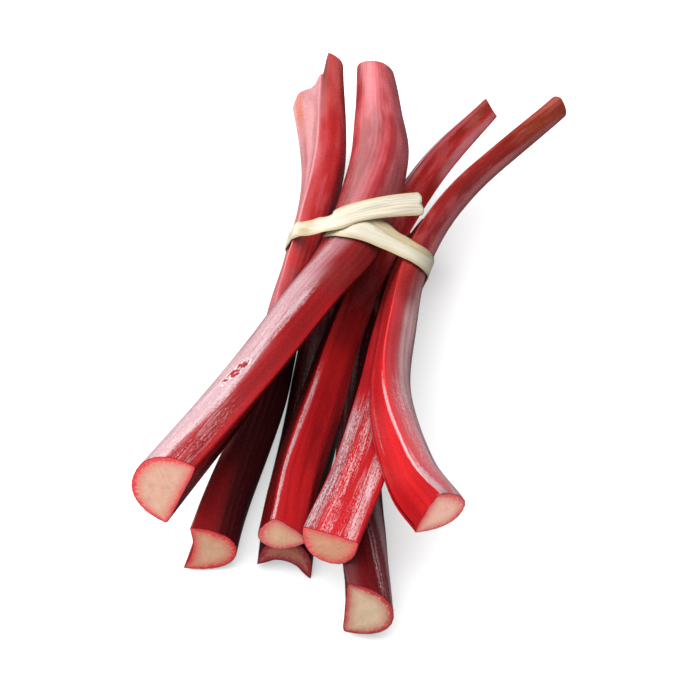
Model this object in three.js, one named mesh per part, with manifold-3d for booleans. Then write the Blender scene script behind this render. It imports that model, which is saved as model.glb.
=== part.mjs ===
// Seven cut rhubarb stalks lying in a bunch, held by one flat raffia tie.
// Millimetres, +Z up. The cut butts point to -Y and the leaf ends to +Y.
// The surface that the bunch lies on is z = 0.
import * as THREE from 'three';
import Module from 'manifold-3d';

const wasm = await Module();
wasm.setup();
const { Manifold, Mesh: ManifoldMesh } = wasm;

// ---- driving dimensions -------------------------------------------------

// The points below are measured from a spot on the surface under the crossing
// of the stalks. The part's origin is the middle of its footprint instead.
const FOOTPRINT_MIDDLE_X = 20.6;
const FOOTPRINT_MIDDLE_Y = 52.7;

// How finely every stalk is built.
const RING_POINTS = 28;
const STATIONS = 18;

// The section is a D. Its flat side has a shallow channel, its back is ribbed.
const BACK_SHARE = 0.86;
const FLAT_SHARE = 0.14;
const RIB_COUNT = 6;
const RIB_HEIGHT = 0.3;

// Each stalk: the points its middle passes through from butt to leaf end,
// its width, thickness and channel depth there, and how far its flat side is
// turned from facing up (degrees, towards +X). cutButt and cutLeaf give the
// slant of the cuts: mm set back per mm across the width and the thickness.
const STALKS = {
  stalk_1: {
    middle: [[-89, -115, 44], [-55, -60, 54], [-26, 3, 56], [-2.1, 56, 59],
      [14.3, 137, 62], [16, 196, 63], [15.5, 261, 62]],
    width: [44.5, 40, 41, 43.2, 39.6, 32.5, 26],
    thickness: [26, 25, 25.5, 24.5, 21, 17.5, 13],
    channel: [1.5, 1.5, 1.5, 1.5, 1.5, 1.5, 1.5],
    turn: [113, 117, 124, 138, 150, 150, 150],
    cutButt: [-0.28, 0.18],
    cutLeaf: [0.8, 0],
  },
  stalk_2: {
    middle: [[-66.7, -128, 13.2], [-61.2, -94.5, 12.2], [-45.5, -21.5, 13],
      [-36, 57, 20], [-26, 102, 31], [-16, 170.5, 41], [-20, 272, 47]],
    width: [26.5, 27, 27, 27.5, 29.5, 33, 45],
    thickness: [25.8, 24, 22.5, 21, 22, 26, 29.5],
    channel: [4.7, 3.6, 2.5, 2.5, 2.5, 2.5, 3.5],
    turn: [-80, -80, -75, -70, -71, -71, -64],
    cutButt: [0.1, -0.18],
    cutLeaf: [0, -0.3],
  },
  stalk_3: {
    middle: [[-30.2, -129, 9], [-28.6, -91.5, 8.8], [-21.9, -41, 9],
      [-16.3, 24, 11], [-11.3, 77.5, 16.5], [-4, 129, 16], [5.5, 192.5, 5.3]],
    width: [26.4, 27.8, 30.4, 27.8, 22.5, 19, 18],
    thickness: [18.6, 17, 16, 15, 14, 13, 12],
    channel: [7.3, 4.5, 3, 2.5, 2, 2, 2],
    turn: [191, 182, 176, 176, 176, 176, 176],
    cutButt: [0.15, -0.34],
    cutLeaf: [0, 0],
  },
  stalk_4: {
    middle: [[-33.2, -133.3, 28.8], [-28, -96.5, 29.4], [-17, -45, 30.5],
      [-4, 14.5, 33], [15, 79, 37], [49.8, 162.6, 41], [92.5, 235, 44]],
    width: [23.2, 24, 23.5, 20.5, 20, 19.5, 14.5],
    thickness: [18, 18.5, 18, 16.5, 15, 13, 11],
    channel: [-0.8, 0.5, 1, 1, 1, 1, 1],
    turn: [51, 46, 45, 45, 45, 45, 45],
    cutButt: [0.15, 0.07],
    cutLeaf: [-0.15, 0],
  },
  stalk_5: {
    middle: [[-9.5, -149, 39], [4, -103, 38], [14.5, -45.5, 34.5],
      [22, 8, 30.5], [30.5, 57.5, 27], [42, 101.5, 24], [51, 126.5, 22]],
    width: [26.5, 25.5, 24, 21.5, 19.5, 18, 16],
    thickness: [20.5, 18, 16, 15, 14, 12, 11],
    channel: [0.6, 0.6, 0.6, 0.6, 0.6, 0.6, 0.6],
    turn: [6, 10, 13, 13, 13, 10, 10],
    cutButt: [0, 0],
    cutLeaf: [0, 0],
  },
  stalk_6: {
    middle: [[42.5, -131, 43], [29.5, -115, 53.2], [20.5, -70, 57],
      [24.5, -18.5, 55.5], [37, 52, 52.5], [69.1, 127.5, 50], [140.1, 228.5, 48.7]],
    width: [25.5, 26.5, 26, 25, 25, 22, 15],
    thickness: [24, 21, 19, 18.5, 17.5, 15.2, 13],
    channel: [1.5, 1.5, 1.5, 1.5, 1, -0.3, -2.5],
    turn: [-72, -72, -74, -74, -68, -60, -50],
    cutButt: [0.26, 0.32],
    cutLeaf: [-0.3, 0.2],
  },
  stalk_7: {
    middle: [[8, -168.5, 18], [7, -124, 15.2], [6, -74, 12.5],
      [8.5, -12.5, 11.8], [14, 45, 14.5], [22, 95.5, 17], [30.5, 148, 6]],
    width: [30.5, 26, 24, 22, 21, 20, 18],
    thickness: [23.5, 20.5, 18, 17, 16, 14, 13],
    channel: [1.5, 1.5, 1.5, 1.5, 1.5, 1.5, 1.5],
    turn: [-86, -110, -135, -152, -165, -172, -176],
    cutButt: [0.04, 0.22],
    cutLeaf: [0, 0],
  },
};

// The leaf end of stalk_2 is torn: its flat side is drawn down towards one edge
// and the back beside that edge stands up as a shoulder. The other edge's corner
// is rounded off.
const TORN_STALK = 'stalk_2';
const TEAR_DIP = 30;
const TEAR_SHOULDER = 3.5;
const TEAR_SHOULDER_AT = 12;
const TEAR_SHOULDER_WIDTH = 8;
const TEAR_CORNER = 9;
// The tear fades out over this share of the stalk, as one part in so many.
const TEAR_FADE = 5;

// The tie goes round the whole bunch in one leaning plane.
const TIE_CENTRE = new THREE.Vector3(-2.8, 47.4, 76.4);
const TIE_NORMAL = new THREE.Vector3(0.36, 0.7, 0.61).normalize();
const TIE_WIDTH = 12;
const TIE_THICKNESS = 0.9;
const TIE_CROWN = 0.3;
const TIE_GAP = 0.6;
const TIE_POINTS = 72;
// The free end leaves the ring where it crosses the top stalk.
const TAIL_MIDDLE = [[-15.5, 56, 72], [-7.5, 54.5, 76.5], [1, 58.5, 78.5],
  [13, 62, 79.5], [26, 64.5, 80], [39, 67, 79.5]];
const TAIL_WIDTH = 14;
const TAIL_THICKNESS = 2;
// How far the free end has turned to face -Y at its tip, in degrees.
const TAIL_TURN = 35;

// ---- stalks -------------------------------------------------------------

const UP = new THREE.Vector3(0, 0, 1);

// A smooth run through hand-set values at even steps, t from 0 to 1.
function along(values, t) {
  const flat = values.map((v, i) => new THREE.Vector3(v, i, 0));
  return new THREE.CatmullRomCurve3(flat, false, 'catmullrom', 0.5).getPoint(t).x;
}

// The D section: x across the width, y towards the flat side.
function sectionPoint(phi, width, thickness, channel) {
  const s = Math.sin(phi);
  const c = Math.cos(phi);
  const x = (width / 2) * Math.sign(c) * Math.abs(c) ** 0.9;
  let y = 0.36 * thickness;
  if (s < 0) {
    const rib = RIB_HEIGHT * Math.abs(s) * Math.cos(2 * RIB_COUNT * phi);
    y -= BACK_SHARE * thickness * Math.abs(s) ** 0.85 - rib;
  } else {
    y += FLAT_SHARE * thickness * s ** 0.6 - channel * s * s;
  }
  return [x, y];
}

// 0 at low, 1 at high, smooth between.
function ease(low, high, v) {
  const u = Math.min(1, Math.max(0, (v - low) / (high - low)));
  return u * u * (3 - 2 * u);
}

// The tear at a leaf end: the dip on the flat side, the shoulder on the back and
// the rounded corner.
function tear(x, y) {
  const dip = ease(-20, 18, x) * ease(4.5, 11, y);
  const near = Math.exp(-(((x - TEAR_SHOULDER_AT) / TEAR_SHOULDER_WIDTH) ** 2));
  const shoulder = near * (1 - ease(4, 10.5, y));
  const corner = ease(11, 22, -x);
  return TEAR_SHOULDER * shoulder - TEAR_DIP * dip - TEAR_CORNER * corner;
}

// The points of one ring of a stalk at t, from 0 at the butt to 1.
function ring(name, t) {
  const stalk = STALKS[name];
  const points = stalk.middle.map((p) => new THREE.Vector3(...p));
  const curve = new THREE.CatmullRomCurve3(points, false, 'catmullrom', 0.5);
  const middle = curve.getPoint(t);
  const ahead = curve.getTangent(t);
  const side = new THREE.Vector3().crossVectors(ahead, UP).normalize();
  const lift = new THREE.Vector3().crossVectors(side, ahead);
  const turn = THREE.MathUtils.degToRad(along(stalk.turn, t));
  const facing = lift.clone().multiplyScalar(Math.cos(turn));
  facing.addScaledVector(side, Math.sin(turn));
  const across = side.clone().multiplyScalar(Math.cos(turn));
  across.addScaledVector(lift, -Math.sin(turn));
  const width = along(stalk.width, t);
  const thickness = along(stalk.thickness, t);
  const channel = along(stalk.channel, t);
  // The slant of each cut fades out over the first and last stretch.
  const butt = Math.max(0, 1 - t * 9);
  const leaf = Math.max(0, 1 - (1 - t) * 9);
  const out = [];
  for (let i = 0; i < RING_POINTS; i += 1) {
    const phi = (i / RING_POINTS) * Math.PI * 2;
    const [x, y] = sectionPoint(phi, width, thickness, channel);
    let shift = butt * butt * (stalk.cutButt[0] * x + stalk.cutButt[1] * y);
    shift += leaf * leaf * (stalk.cutLeaf[0] * x + stalk.cutLeaf[1] * y);
    if (name === TORN_STALK) {
      shift += Math.max(0, 1 - (1 - t) * TEAR_FADE) ** 2 * tear(x, y);
    }
    const p = middle.clone();
    p.addScaledVector(across, x);
    p.addScaledVector(facing, y);
    p.addScaledVector(ahead, shift);
    // What would sink below the surface is pressed flat on it.
    p.z = Math.max(p.z, 0);
    out.push(p);
  }
  return out;
}

// Closes a stack of rings with a fan at each end.
function closeRings(rings) {
  const count = rings[0].length;
  const positions = [];
  const index = [];
  rings.forEach((r) => r.forEach((p) => positions.push(p.x, p.y, p.z)));
  [rings[0], rings[rings.length - 1]].forEach((r) => {
    const centre = new THREE.Vector3();
    r.forEach((p) => centre.add(p));
    centre.multiplyScalar(1 / count);
    positions.push(centre.x, centre.y, centre.z);
  });
  const first = rings.length * count;
  for (let s = 0; s < rings.length - 1; s += 1) {
    for (let i = 0; i < count; i += 1) {
      const j = (i + 1) % count;
      const a = s * count + i;
      const b = s * count + j;
      const c = a + count;
      const d = b + count;
      index.push(a, d, b);
      index.push(a, c, d);
    }
  }
  for (let i = 0; i < count; i += 1) {
    const j = (i + 1) % count;
    const last = (rings.length - 1) * count;
    index.push(first, i, j);
    index.push(first + 1, last + j, last + i);
  }
  return { positions, index };
}

function toGeometry({ positions, index }) {
  const geometry = new THREE.BufferGeometry();
  geometry.setAttribute('position', new THREE.Float32BufferAttribute(positions, 3));
  geometry.setIndex(index);
  geometry.computeVertexNormals();
  return geometry;
}

function stalkGeometry(name) {
  const rings = [];
  for (let s = 0; s < STATIONS; s += 1) {
    rings.push(ring(name, s / (STATIONS - 1)));
  }
  return toGeometry(closeRings(rings));
}

// ---- tie ----------------------------------------------------------------

const tieAcross = new THREE.Vector3(1, 0, 0);
tieAcross.addScaledVector(TIE_NORMAL, -TIE_NORMAL.x).normalize();
const tieUp = new THREE.Vector3().crossVectors(tieAcross, TIE_NORMAL);

// Counter-clockwise convex hull of [x, y] points.
function hull(points) {
  const sorted = [...points].sort((p, q) => p[0] - q[0] || p[1] - q[1]);
  const turnOf = (o, p, q) => (p[0] - o[0]) * (q[1] - o[1]) - (p[1] - o[1]) * (q[0] - o[0]);
  const half = (list) => {
    const out = [];
    list.forEach((p) => {
      while (out.length > 1 && turnOf(out[out.length - 2], out[out.length - 1], p) <= 0) {
        out.pop();
      }
      out.push(p);
    });
    out.pop();
    return out;
  };
  return half(sorted).concat(half(sorted.reverse()));
}

// The hull moved outward by a distance, one point for each even direction,
// so that loops at different distances pair up.
function loopOutside(outline, distance) {
  const out = [];
  for (let k = 0; k < TIE_POINTS; k += 1) {
    const a = (k / TIE_POINTS) * Math.PI * 2;
    const nx = Math.cos(a);
    const ny = Math.sin(a);
    let best = outline[0];
    outline.forEach((p) => {
      if (p[0] * nx + p[1] * ny > best[0] * nx + best[1] * ny) {
        best = p;
      }
    });
    out.push([best[0] + distance * nx, best[1] + distance * ny]);
  }
  return out;
}

// Where every stalk passes through the tie, seen along the tie's normal.
function bunchOutline() {
  const points = [];
  const add = (from, to) => {
    for (let k = 0; k <= 40; k += 1) {
      const d = from.clone().lerp(to, k / 40).sub(TIE_CENTRE);
      if (Math.abs(d.dot(TIE_NORMAL)) < TIE_WIDTH / 2 + 0.6) {
        points.push([d.dot(tieAcross), d.dot(tieUp)]);
      }
    }
  };
  Object.keys(STALKS).forEach((name) => {
    for (let s = 0; s < STATIONS - 1; s += 1) {
      const near = ring(name, s / (STATIONS - 1));
      const far = ring(name, (s + 1) / (STATIONS - 1));
      near.forEach((p, i) => {
        add(p, far[i]);
        add(p, far[(i + 1) % RING_POINTS]);
      });
    }
  });
  return hull(points);
}

function place([x, y], depth) {
  const p = TIE_CENTRE.clone();
  p.addScaledVector(tieAcross, x);
  p.addScaledVector(tieUp, y);
  p.addScaledVector(TIE_NORMAL, depth);
  return p;
}

// The ring: four loops outside, two inside, joined edge to edge.
function tieRing() {
  const outline = bunchOutline();
  const half = TIE_WIDTH / 2;
  const outerEdge = loopOutside(outline, TIE_GAP + TIE_THICKNESS);
  const outerCrown = loopOutside(outline, TIE_GAP + TIE_THICKNESS + TIE_CROWN);
  const inner = loopOutside(outline, TIE_GAP);
  const loops = [
    [inner, -half], [outerEdge, -half], [outerCrown, -half * 0.5],
    [outerCrown, half * 0.5], [outerEdge, half], [inner, half],
  ];
  const rings = loops.map(([line, depth]) => line.map((p) => place(p, depth)));
  const positions = [];
  const index = [];
  rings.forEach((r) => r.forEach((p) => positions.push(p.x, p.y, p.z)));
  for (let s = 0; s < rings.length; s += 1) {
    const next = (s + 1) % rings.length;
    for (let i = 0; i < TIE_POINTS; i += 1) {
      const j = (i + 1) % TIE_POINTS;
      const a = s * TIE_POINTS + i;
      const b = s * TIE_POINTS + j;
      const c = next * TIE_POINTS + i;
      const d = next * TIE_POINTS + j;
      index.push(a, d, b);
      index.push(a, c, d);
    }
  }
  return { positions, index };
}

// The free end: a flat strip with a faint crease, its end cut in two lobes.
function tieTail() {
  const points = TAIL_MIDDLE.map((p) => new THREE.Vector3(...p));
  const curve = new THREE.CatmullRomCurve3(points, false, 'catmullrom', 0.5);
  const rings = [];
  const steps = 14;
  for (let s = 0; s <= steps; s += 1) {
    const t = s / steps;
    const middle = curve.getPoint(t);
    const ahead = curve.getTangent(t);
    const side = new THREE.Vector3().crossVectors(ahead, UP).normalize();
    const lift = new THREE.Vector3().crossVectors(side, ahead);
    const turn = THREE.MathUtils.degToRad(TAIL_TURN * t);
    side.applyAxisAngle(ahead, turn);
    lift.applyAxisAngle(ahead, turn);
    const half = (TAIL_WIDTH / 2) * (0.85 + 0.15 * t);
    const count = 16;
    const out = [];
    for (let i = 0; i < count; i += 1) {
      const phi = (i / count) * Math.PI * 2;
      const x = half * Math.cos(phi);
      let y = (TAIL_THICKNESS / 2) * Math.sign(Math.sin(phi));
      y *= Math.abs(Math.sin(phi)) ** 0.5;
      y -= 0.35 * Math.exp(-((x / 1.6) ** 2)) * Math.sign(y);
      const lobe = Math.max(0, 1 - (1 - t) * 6) * 1.6 * Math.abs(Math.sin((x / half) * 3));
      const p = middle.clone();
      p.addScaledVector(side, x);
      p.addScaledVector(lift, y);
      p.addScaledVector(ahead, lobe);
      out.push(p);
    }
    rings.push(out);
  }
  return closeRings(rings);
}

function toManifold({ positions, index }) {
  return new Manifold(new ManifoldMesh({
    numProp: 3,
    vertProperties: new Float32Array(positions),
    triVerts: new Uint32Array(index),
  }));
}

function tieGeometry() {
  const body = toManifold(tieRing()).add(toManifold(tieTail()));
  const mesh = body.getMesh();
  const geometry = new THREE.BufferGeometry();
  const positions = new Float32Array(mesh.vertProperties);
  geometry.setAttribute('position', new THREE.BufferAttribute(positions, 3));
  geometry.setIndex(new THREE.BufferAttribute(new Uint32Array(mesh.triVerts), 1));
  geometry.computeVertexNormals();
  return geometry;
}

// ---- the part -----------------------------------------------------------

const skin = new THREE.MeshStandardMaterial({ color: 0xb81c26, roughness: 0.4 });
const raffia = new THREE.MeshStandardMaterial({ color: 0xe9dfbf, roughness: 0.55 });

const bunch = new THREE.Group();
Object.keys(STALKS).forEach((name) => {
  const mesh = new THREE.Mesh(stalkGeometry(name), skin);
  mesh.name = name;
  bunch.add(mesh);
});
const tie = new THREE.Mesh(tieGeometry(), raffia);
tie.name = 'tie';
bunch.add(tie);
bunch.position.set(-FOOTPRINT_MIDDLE_X, -FOOTPRINT_MIDDLE_Y, 0);

const part = new THREE.Group();
part.name = 'rhubarb_bunch';
part.add(bunch);

export default part;
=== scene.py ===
"""Looks of a tied bunch of rhubarb: seven cut stalks, a raffia strip and the stage they lie on.

Lengths in the tables are millimetres, measured from the spot under the crossing of the
stalks. FOOTPRINT_MIDDLE moves them to the middle of the bunch's footprint.
"""

import math

import bpy
import numpy as np
from bpy.props import FloatProperty, FloatVectorProperty, IntProperty, PointerProperty
from mathutils import Matrix


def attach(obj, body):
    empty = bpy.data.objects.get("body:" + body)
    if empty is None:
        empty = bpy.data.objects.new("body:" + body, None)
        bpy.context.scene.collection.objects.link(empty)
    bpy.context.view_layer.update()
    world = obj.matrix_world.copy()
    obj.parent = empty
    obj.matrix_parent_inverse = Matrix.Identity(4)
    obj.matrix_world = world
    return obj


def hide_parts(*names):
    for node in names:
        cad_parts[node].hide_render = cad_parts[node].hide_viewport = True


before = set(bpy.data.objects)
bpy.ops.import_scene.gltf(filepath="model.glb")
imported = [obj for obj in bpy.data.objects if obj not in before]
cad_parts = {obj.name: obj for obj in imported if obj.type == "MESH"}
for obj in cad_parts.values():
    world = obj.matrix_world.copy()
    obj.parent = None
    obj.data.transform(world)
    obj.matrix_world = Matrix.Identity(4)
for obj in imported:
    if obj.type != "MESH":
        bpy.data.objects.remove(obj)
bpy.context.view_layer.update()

bl_info = {
    "name": "Tied rhubarb bunch",
    "version": (1, 0, 0),
    "blender": (4, 5, 0),
    "location": "3D View > Sidebar > Rhubarb",
    "description": "Builds seven rhubarb stalks, the raffia strip round them and their stage",
    "category": "Add Mesh",
}

FOOTPRINT_MIDDLE = np.array([20.6, 52.7, 0.0])
MM = 0.001

# ---- the stalks ---------------------------------------------------------

# middle: points that a stalk's middle line passes through, butt first.
# width, thickness, channel: its D section there.
# turn: degrees that its flat side is turned from facing up.
# cut_butt, cut_leaf: slants of a cut across the width and through the thickness.
# back, flat: the skin's screen colours, 0-255, at butt, middle and leaf end, on the ribbed
#   back and on the flat side. Besides the skin's own colour they hold painted light and
#   shade: darker where a stalk lies in shade under others, paler where a side mirrors light.
# flesh: the colours of the cut faces at butt and leaf end. rim: that just inside the skin.
# tints, frost: bands along the skin, of a plain colour and of broken pale skin. Besides the
#   skin's own colour, some tints are painted sheen and reflection on sides turned to the
#   light and the floor, others painted shade on sides turned away, and the frost is painted
#   highlight as well as pale streaks. Each is (angle round the stalk at the butt, the same
#   at the leaf end, half width in degrees, start and end as shares of the length, strength,
#   and a tint's colour). The middle of the flat side is at 90 degrees, and that of the back
#   at 270.
STALKS = {
    "stalk_1": {
        "middle": [
            [-89, -115, 44], [-55, -60, 54], [-26, 3, 56], [-2.1, 56, 59],
            [14.3, 137, 62], [16, 196, 63], [15.5, 261, 62],
        ],
        "width": [44.5, 40, 41, 43.2, 39.6, 32.5, 26],
        "thickness": [26, 25, 25.5, 24.5, 21, 17.5, 13],
        "channel": [1.5, 1.5, 1.5, 1.5, 1.5, 1.5, 1.5],
        "turn": [113, 117, 124, 138, 150, 150, 150],
        "cut_butt": [-0.28, 0.18],
        "cut_leaf": [0.8, 0],
        "back": [(186, 30, 36), (168, 34, 38), (222, 86, 94)],
        "flat": [(96, 8, 16), (110, 14, 24), (150, 80, 92)],
        "flesh": [(220, 171, 149), (226, 150, 140)],
        "rim": (222, 50, 62),
        # Painted light in these tints: those at 238 to 250 near the butt are painted sheen on
        # the side turned up to the light, and those at 170 and 130 lighten the flat side where
        # it lies in shade.
        "tints": [
            (238, 242, 30, 0.0, 0.2, 0.85, (224, 188, 196)),
            (239, 247, 29, 0.2, 0.38, 0.85, (206, 160, 167)),
            (246, 250, 25, 0.38, 0.54, 0.7, (186, 122, 130)),
            (186, 180, 12, 0.04, 0.3, 0.5, (140, 22, 28)),
            (170, 170, 14, 0.0, 0.36, 0.8, (222, 38, 44)),
            (130, 130, 26, 0.0, 0.6, 0.7, (226, 56, 60)),
            (194, 190, 18, 0.36, 0.56, 0.6, (150, 44, 44)),
            (240, 254, 13, 0.56, 0.78, 0.6, (206, 106, 112)),
            (232, 262, 14, 0.76, 1.0, 0.55, (232, 134, 140)),
            (226, 240, 9, 0.58, 1.0, 0.5, (206, 80, 88)),
            (212, 216, 7, 0.55, 0.86, 0.5, (160, 60, 68)),
            (250, 250, 22, 0.52, 0.62, 0.5, (176, 70, 78)),
            (216, 216, 34, 0.8, 1.1, 0.4, (250, 130, 138)),
            (304, 304, 20, 0.78, 1.1, 0.75, (250, 96, 100)),
            (192, 198, 17, 0.5, 1.0, 0.85, (192, 98, 104)),
            (286, 296, 18, 0.55, 1.0, 0.85, (184, 56, 62)),
            (304, 304, 14, 0.5, 0.66, 0.8, (110, 24, 28)),
        ],
        # These frost bands are painted highlight grain along the edge of the sheen, as well as
        # pale streaks.
        "frost": [
            (214, 214, 9, 0.0, 0.34, 0.66),
            (194, 194, 12, 0.0, 0.13, 0.3),
            (232, 232, 8, 0.0, 0.3, 0.45),
            (246, 246, 16, 0.0, 0.5, 0.3),
        ],
    },
    "stalk_2": {
        "middle": [
            [-66.7, -128, 13.2], [-61.2, -94.5, 12.2], [-45.5, -21.5, 13],
            [-36, 57, 20], [-26, 102, 31], [-16, 170.5, 41], [-20, 272, 47],
        ],
        "width": [26.5, 27, 27, 27.5, 29.5, 33, 45],
        "thickness": [25.8, 24, 22.5, 21, 22, 26, 29.5],
        "channel": [4.7, 3.6, 2.5, 2.5, 2.5, 2.5, 3.5],
        "turn": [-80, -80, -75, -70, -71, -71, -64],
        "cut_butt": [0.1, -0.18],
        "cut_leaf": [0, -0.3],
        # The back's near-black is painted shade where the stalk lies low between stalk_1 and
        # stalk_4, as well as its own dark skin.
        "back": [(92, 22, 26), (100, 28, 32), (222, 62, 66)],
        "flat": [(190, 26, 34), (246, 152, 158), (255, 184, 184)],
        "flesh": [(202, 156, 126), (240, 150, 140)],
        "rim": (206, 34, 44),
        "tints": [
            (352, 352, 18, 0.0, 0.2, 0.7, (170, 26, 32)),
            (290, 290, 26, 0.0, 0.5, 0.6, (92, 32, 38)),
            (354, 354, 16, 0.44, 0.6, 0.8, (244, 100, 104)),
            (340, 340, 30, 0.56, 0.95, 0.8, (248, 62, 64)),
            (300, 300, 22, 0.56, 1.1, 0.85, (150, 26, 34)),
            (304, 304, 26, 0.84, 1.1, 0.7, (226, 46, 52)),
            (345, 345, 28, 0.92, 1.1, 0.9, (255, 104, 96)),
            (354, 358, 9, 0.6, 0.86, 0.6, (240, 100, 104)),
            (122, 122, 16, 0.945, 1.0, 0.8, (250, 140, 104)),
            (14, 16, 14, 0.66, 1.0, 0.9, (250, 160, 162)),
            (2, 2, 10, 0.9, 1.1, 0.7, (255, 150, 152)),
            (150, 158, 24, 0.0, 0.8, 0.6, (196, 40, 48)),
            (112, 116, 10, 0.1, 0.9, 0.35, (206, 60, 68)),
            (186, 190, 14, 0.0, 1.0, 0.6, (226, 120, 124)),
        ],
        # This frost band is a painted highlight along the upper edge near the butt.
        "frost": [
            (8, 8, 7, 0.0, 0.3, 0.35),
        ],
    },
    "stalk_3": {
        "middle": [
            [-30.2, -129, 9], [-28.6, -91.5, 8.8], [-21.9, -41, 9],
            [-16.3, 24, 11], [-11.3, 77.5, 16.5], [-4, 129, 16], [5.5, 192.5, 5.3],
        ],
        "width": [26.4, 27.8, 30.4, 27.8, 22.5, 19, 18],
        "thickness": [18.6, 17, 16, 15, 14, 13, 12],
        "channel": [7.3, 4.5, 3, 2.5, 2, 2, 2],
        "turn": [191, 182, 176, 176, 176, 176, 176],
        "cut_butt": [0.15, -0.34],
        "cut_leaf": [0, 0],
        # Its dark skin and brown flesh are partly its own colour and partly painted shade,
        # where it lies under stalk_4.
        "back": [(74, 8, 16), (60, 12, 20), (120, 24, 32)],
        "flat": [(104, 12, 20), (110, 16, 24), (150, 50, 60)],
        "flesh": [(174, 108, 86), (200, 130, 110)],
        "rim": (128, 26, 38),
        "tints": [],
        "frost": [],
    },
    "stalk_4": {
        "middle": [
            [-33.2, -133.3, 28.8], [-28, -96.5, 29.4], [-17, -45, 30.5],
            [-4, 14.5, 33], [15, 79, 37], [49.8, 162.6, 41], [92.5, 235, 44],
        ],
        "width": [23.2, 24, 23.5, 20.5, 20, 19.5, 14.5],
        "thickness": [18, 18.5, 18, 16.5, 15, 13, 11],
        "channel": [-0.8, 0.5, 1, 1, 1, 1, 1],
        "turn": [51, 46, 45, 45, 45, 45, 45],
        "cut_butt": [0.15, 0.07],
        "cut_leaf": [-0.15, 0],
        "back": [(112, 14, 18), (90, 14, 18), (170, 84, 94)],
        "flat": [(246, 42, 48), (196, 34, 36), (206, 56, 54)],
        "flesh": [(222, 176, 142), (220, 130, 110)],
        "rim": (216, 84, 90),
        # Painted light in these tints: the bright red at 142 lights the flat side beside the
        # shoulder, those at 30 to 90 are painted shade darkening it towards its right edge, and
        # near the leaf end those at 146 and 176 are a painted pale reflection on the left rim
        # and the one at 56 a painted mauve reflection on the right.
        "tints": [
            (142, 126, 14, 0.0, 0.4, 0.8, (255, 48, 56)),
            (36, 36, 26, 0.0, 0.32, 0.85, (66, 10, 14)),
            (60, 60, 40, 0.2, 0.36, 0.4, (150, 24, 28)),
            (30, 30, 34, 0.3, 0.6, 0.6, (110, 20, 24)),
            (90, 90, 60, 0.46, 0.62, 0.6, (130, 22, 26)),
            (146, 136, 12, 0.8, 1.0, 0.9, (250, 118, 124)),
            (176, 172, 12, 0.6, 1.0, 0.85, (232, 204, 208)),
            (56, 50, 22, 0.84, 1.0, 0.8, (206, 132, 136)),
            (54, 54, 26, 0.7, 0.84, 0.5, (140, 26, 30)),
            (112, 112, 20, 0.95, 1.1, 0.6, (196, 96, 66)),
            (100, 100, 30, 0.62, 0.8, 0.5, (190, 40, 40)),
        ],
        # This frost band is the painted highlight along the left shoulder.
        "frost": [
            (172, 94, 13, 0.01, 0.38, 0.74),
        ],
    },
    "stalk_5": {
        "middle": [
            [-9.5, -149, 39], [4, -103, 38], [14.5, -45.5, 34.5],
            [22, 8, 30.5], [30.5, 57.5, 27], [42, 101.5, 24], [51, 126.5, 22],
        ],
        "width": [26.5, 25.5, 24, 21.5, 19.5, 18, 16],
        "thickness": [20.5, 18, 16, 15, 14, 12, 11],
        "channel": [0.6, 0.6, 0.6, 0.6, 0.6, 0.6, 0.6],
        "turn": [6, 10, 13, 13, 13, 10, 10],
        "cut_butt": [0, 0],
        "cut_leaf": [0, 0],
        "back": [(150, 14, 22), (120, 10, 18), (120, 20, 28)],
        "flat": [(222, 34, 42), (196, 34, 40), (150, 34, 38)],
        "flesh": [(208, 148, 118), (210, 130, 110)],
        "rim": (216, 70, 74),
        # These grey-pink tints are a painted sheen over the flat top near the butt.
        "tints": [
            (150, 146, 16, 0.0, 0.28, 0.8, (150, 120, 124)),
            (130, 128, 12, 0.0, 0.28, 0.6, (160, 66, 72)),
        ],
        # These frost bands are painted highlight streaks over the flat top, as well as pale
        # streaks.
        "frost": [
            (138, 134, 22, 0.0, 0.3, 0.5),
            (52, 52, 18, 0.0, 0.5, 0.68),
            (104, 102, 14, 0.0, 0.4, 0.46),
            (78, 78, 8, 0.0, 0.16, 0.3),
        ],
    },
    "stalk_6": {
        "middle": [
            [42.5, -131, 43], [29.5, -115, 53.2], [20.5, -70, 57],
            [24.5, -18.5, 55.5], [37, 52, 52.5], [69.1, 127.5, 50], [140.1, 228.5, 48.7],
        ],
        "width": [25.5, 26.5, 26, 25, 25, 22, 15],
        "thickness": [24, 21, 19, 18.5, 17.5, 15.2, 13],
        "channel": [1.5, 1.5, 1.5, 1.5, 1, -0.3, -2.5],
        "turn": [-72, -72, -74, -74, -68, -60, -50],
        "cut_butt": [0.26, 0.32],
        "cut_leaf": [-0.3, 0.2],
        # The pink of the back near the butt is partly painted sheen.
        "back": [(250, 110, 118), (214, 64, 70), (176, 66, 56)],
        "flat": [(255, 34, 40), (240, 48, 52), (170, 54, 42)],
        "flesh": [(255, 196, 176), (196, 96, 50)],
        "rim": (232, 84, 86),
        # Painted light in these tints: those at 280 to 336 are a painted pale reflection on the
        # back, turned right towards the floor, and the thin dark one at 140 is painted shade in
        # a groove by the flat side's edge.
        "tints": [
            (336, 330, 20, 0.0, 0.3, 0.5, (236, 140, 148)),
            (318, 316, 18, 0.0, 0.3, 0.85, (226, 184, 190)),
            (316, 316, 24, 0.3, 0.62, 0.85, (236, 196, 198)),
            (280, 285, 20, 0.0, 0.7, 0.8, (176, 140, 148)),
            (140, 136, 5, 0.02, 0.4, 0.8, (70, 6, 12)),
            (10, 10, 50, 0.55, 0.94, 0.7, (176, 44, 40)),
            (304, 304, 17, 0.62, 1.0, 0.8, (236, 140, 142)),
            (332, 330, 14, 0.55, 0.85, 0.5, (150, 54, 62)),
            (350, 350, 60, 0.93, 1.1, 0.6, (186, 80, 48)),
            (60, 60, 22, 0.8, 1.0, 0.5, (166, 70, 40)),
        ],
        # These frost bands are painted highlight grain, along the ridge above all.
        "frost": [
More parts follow.
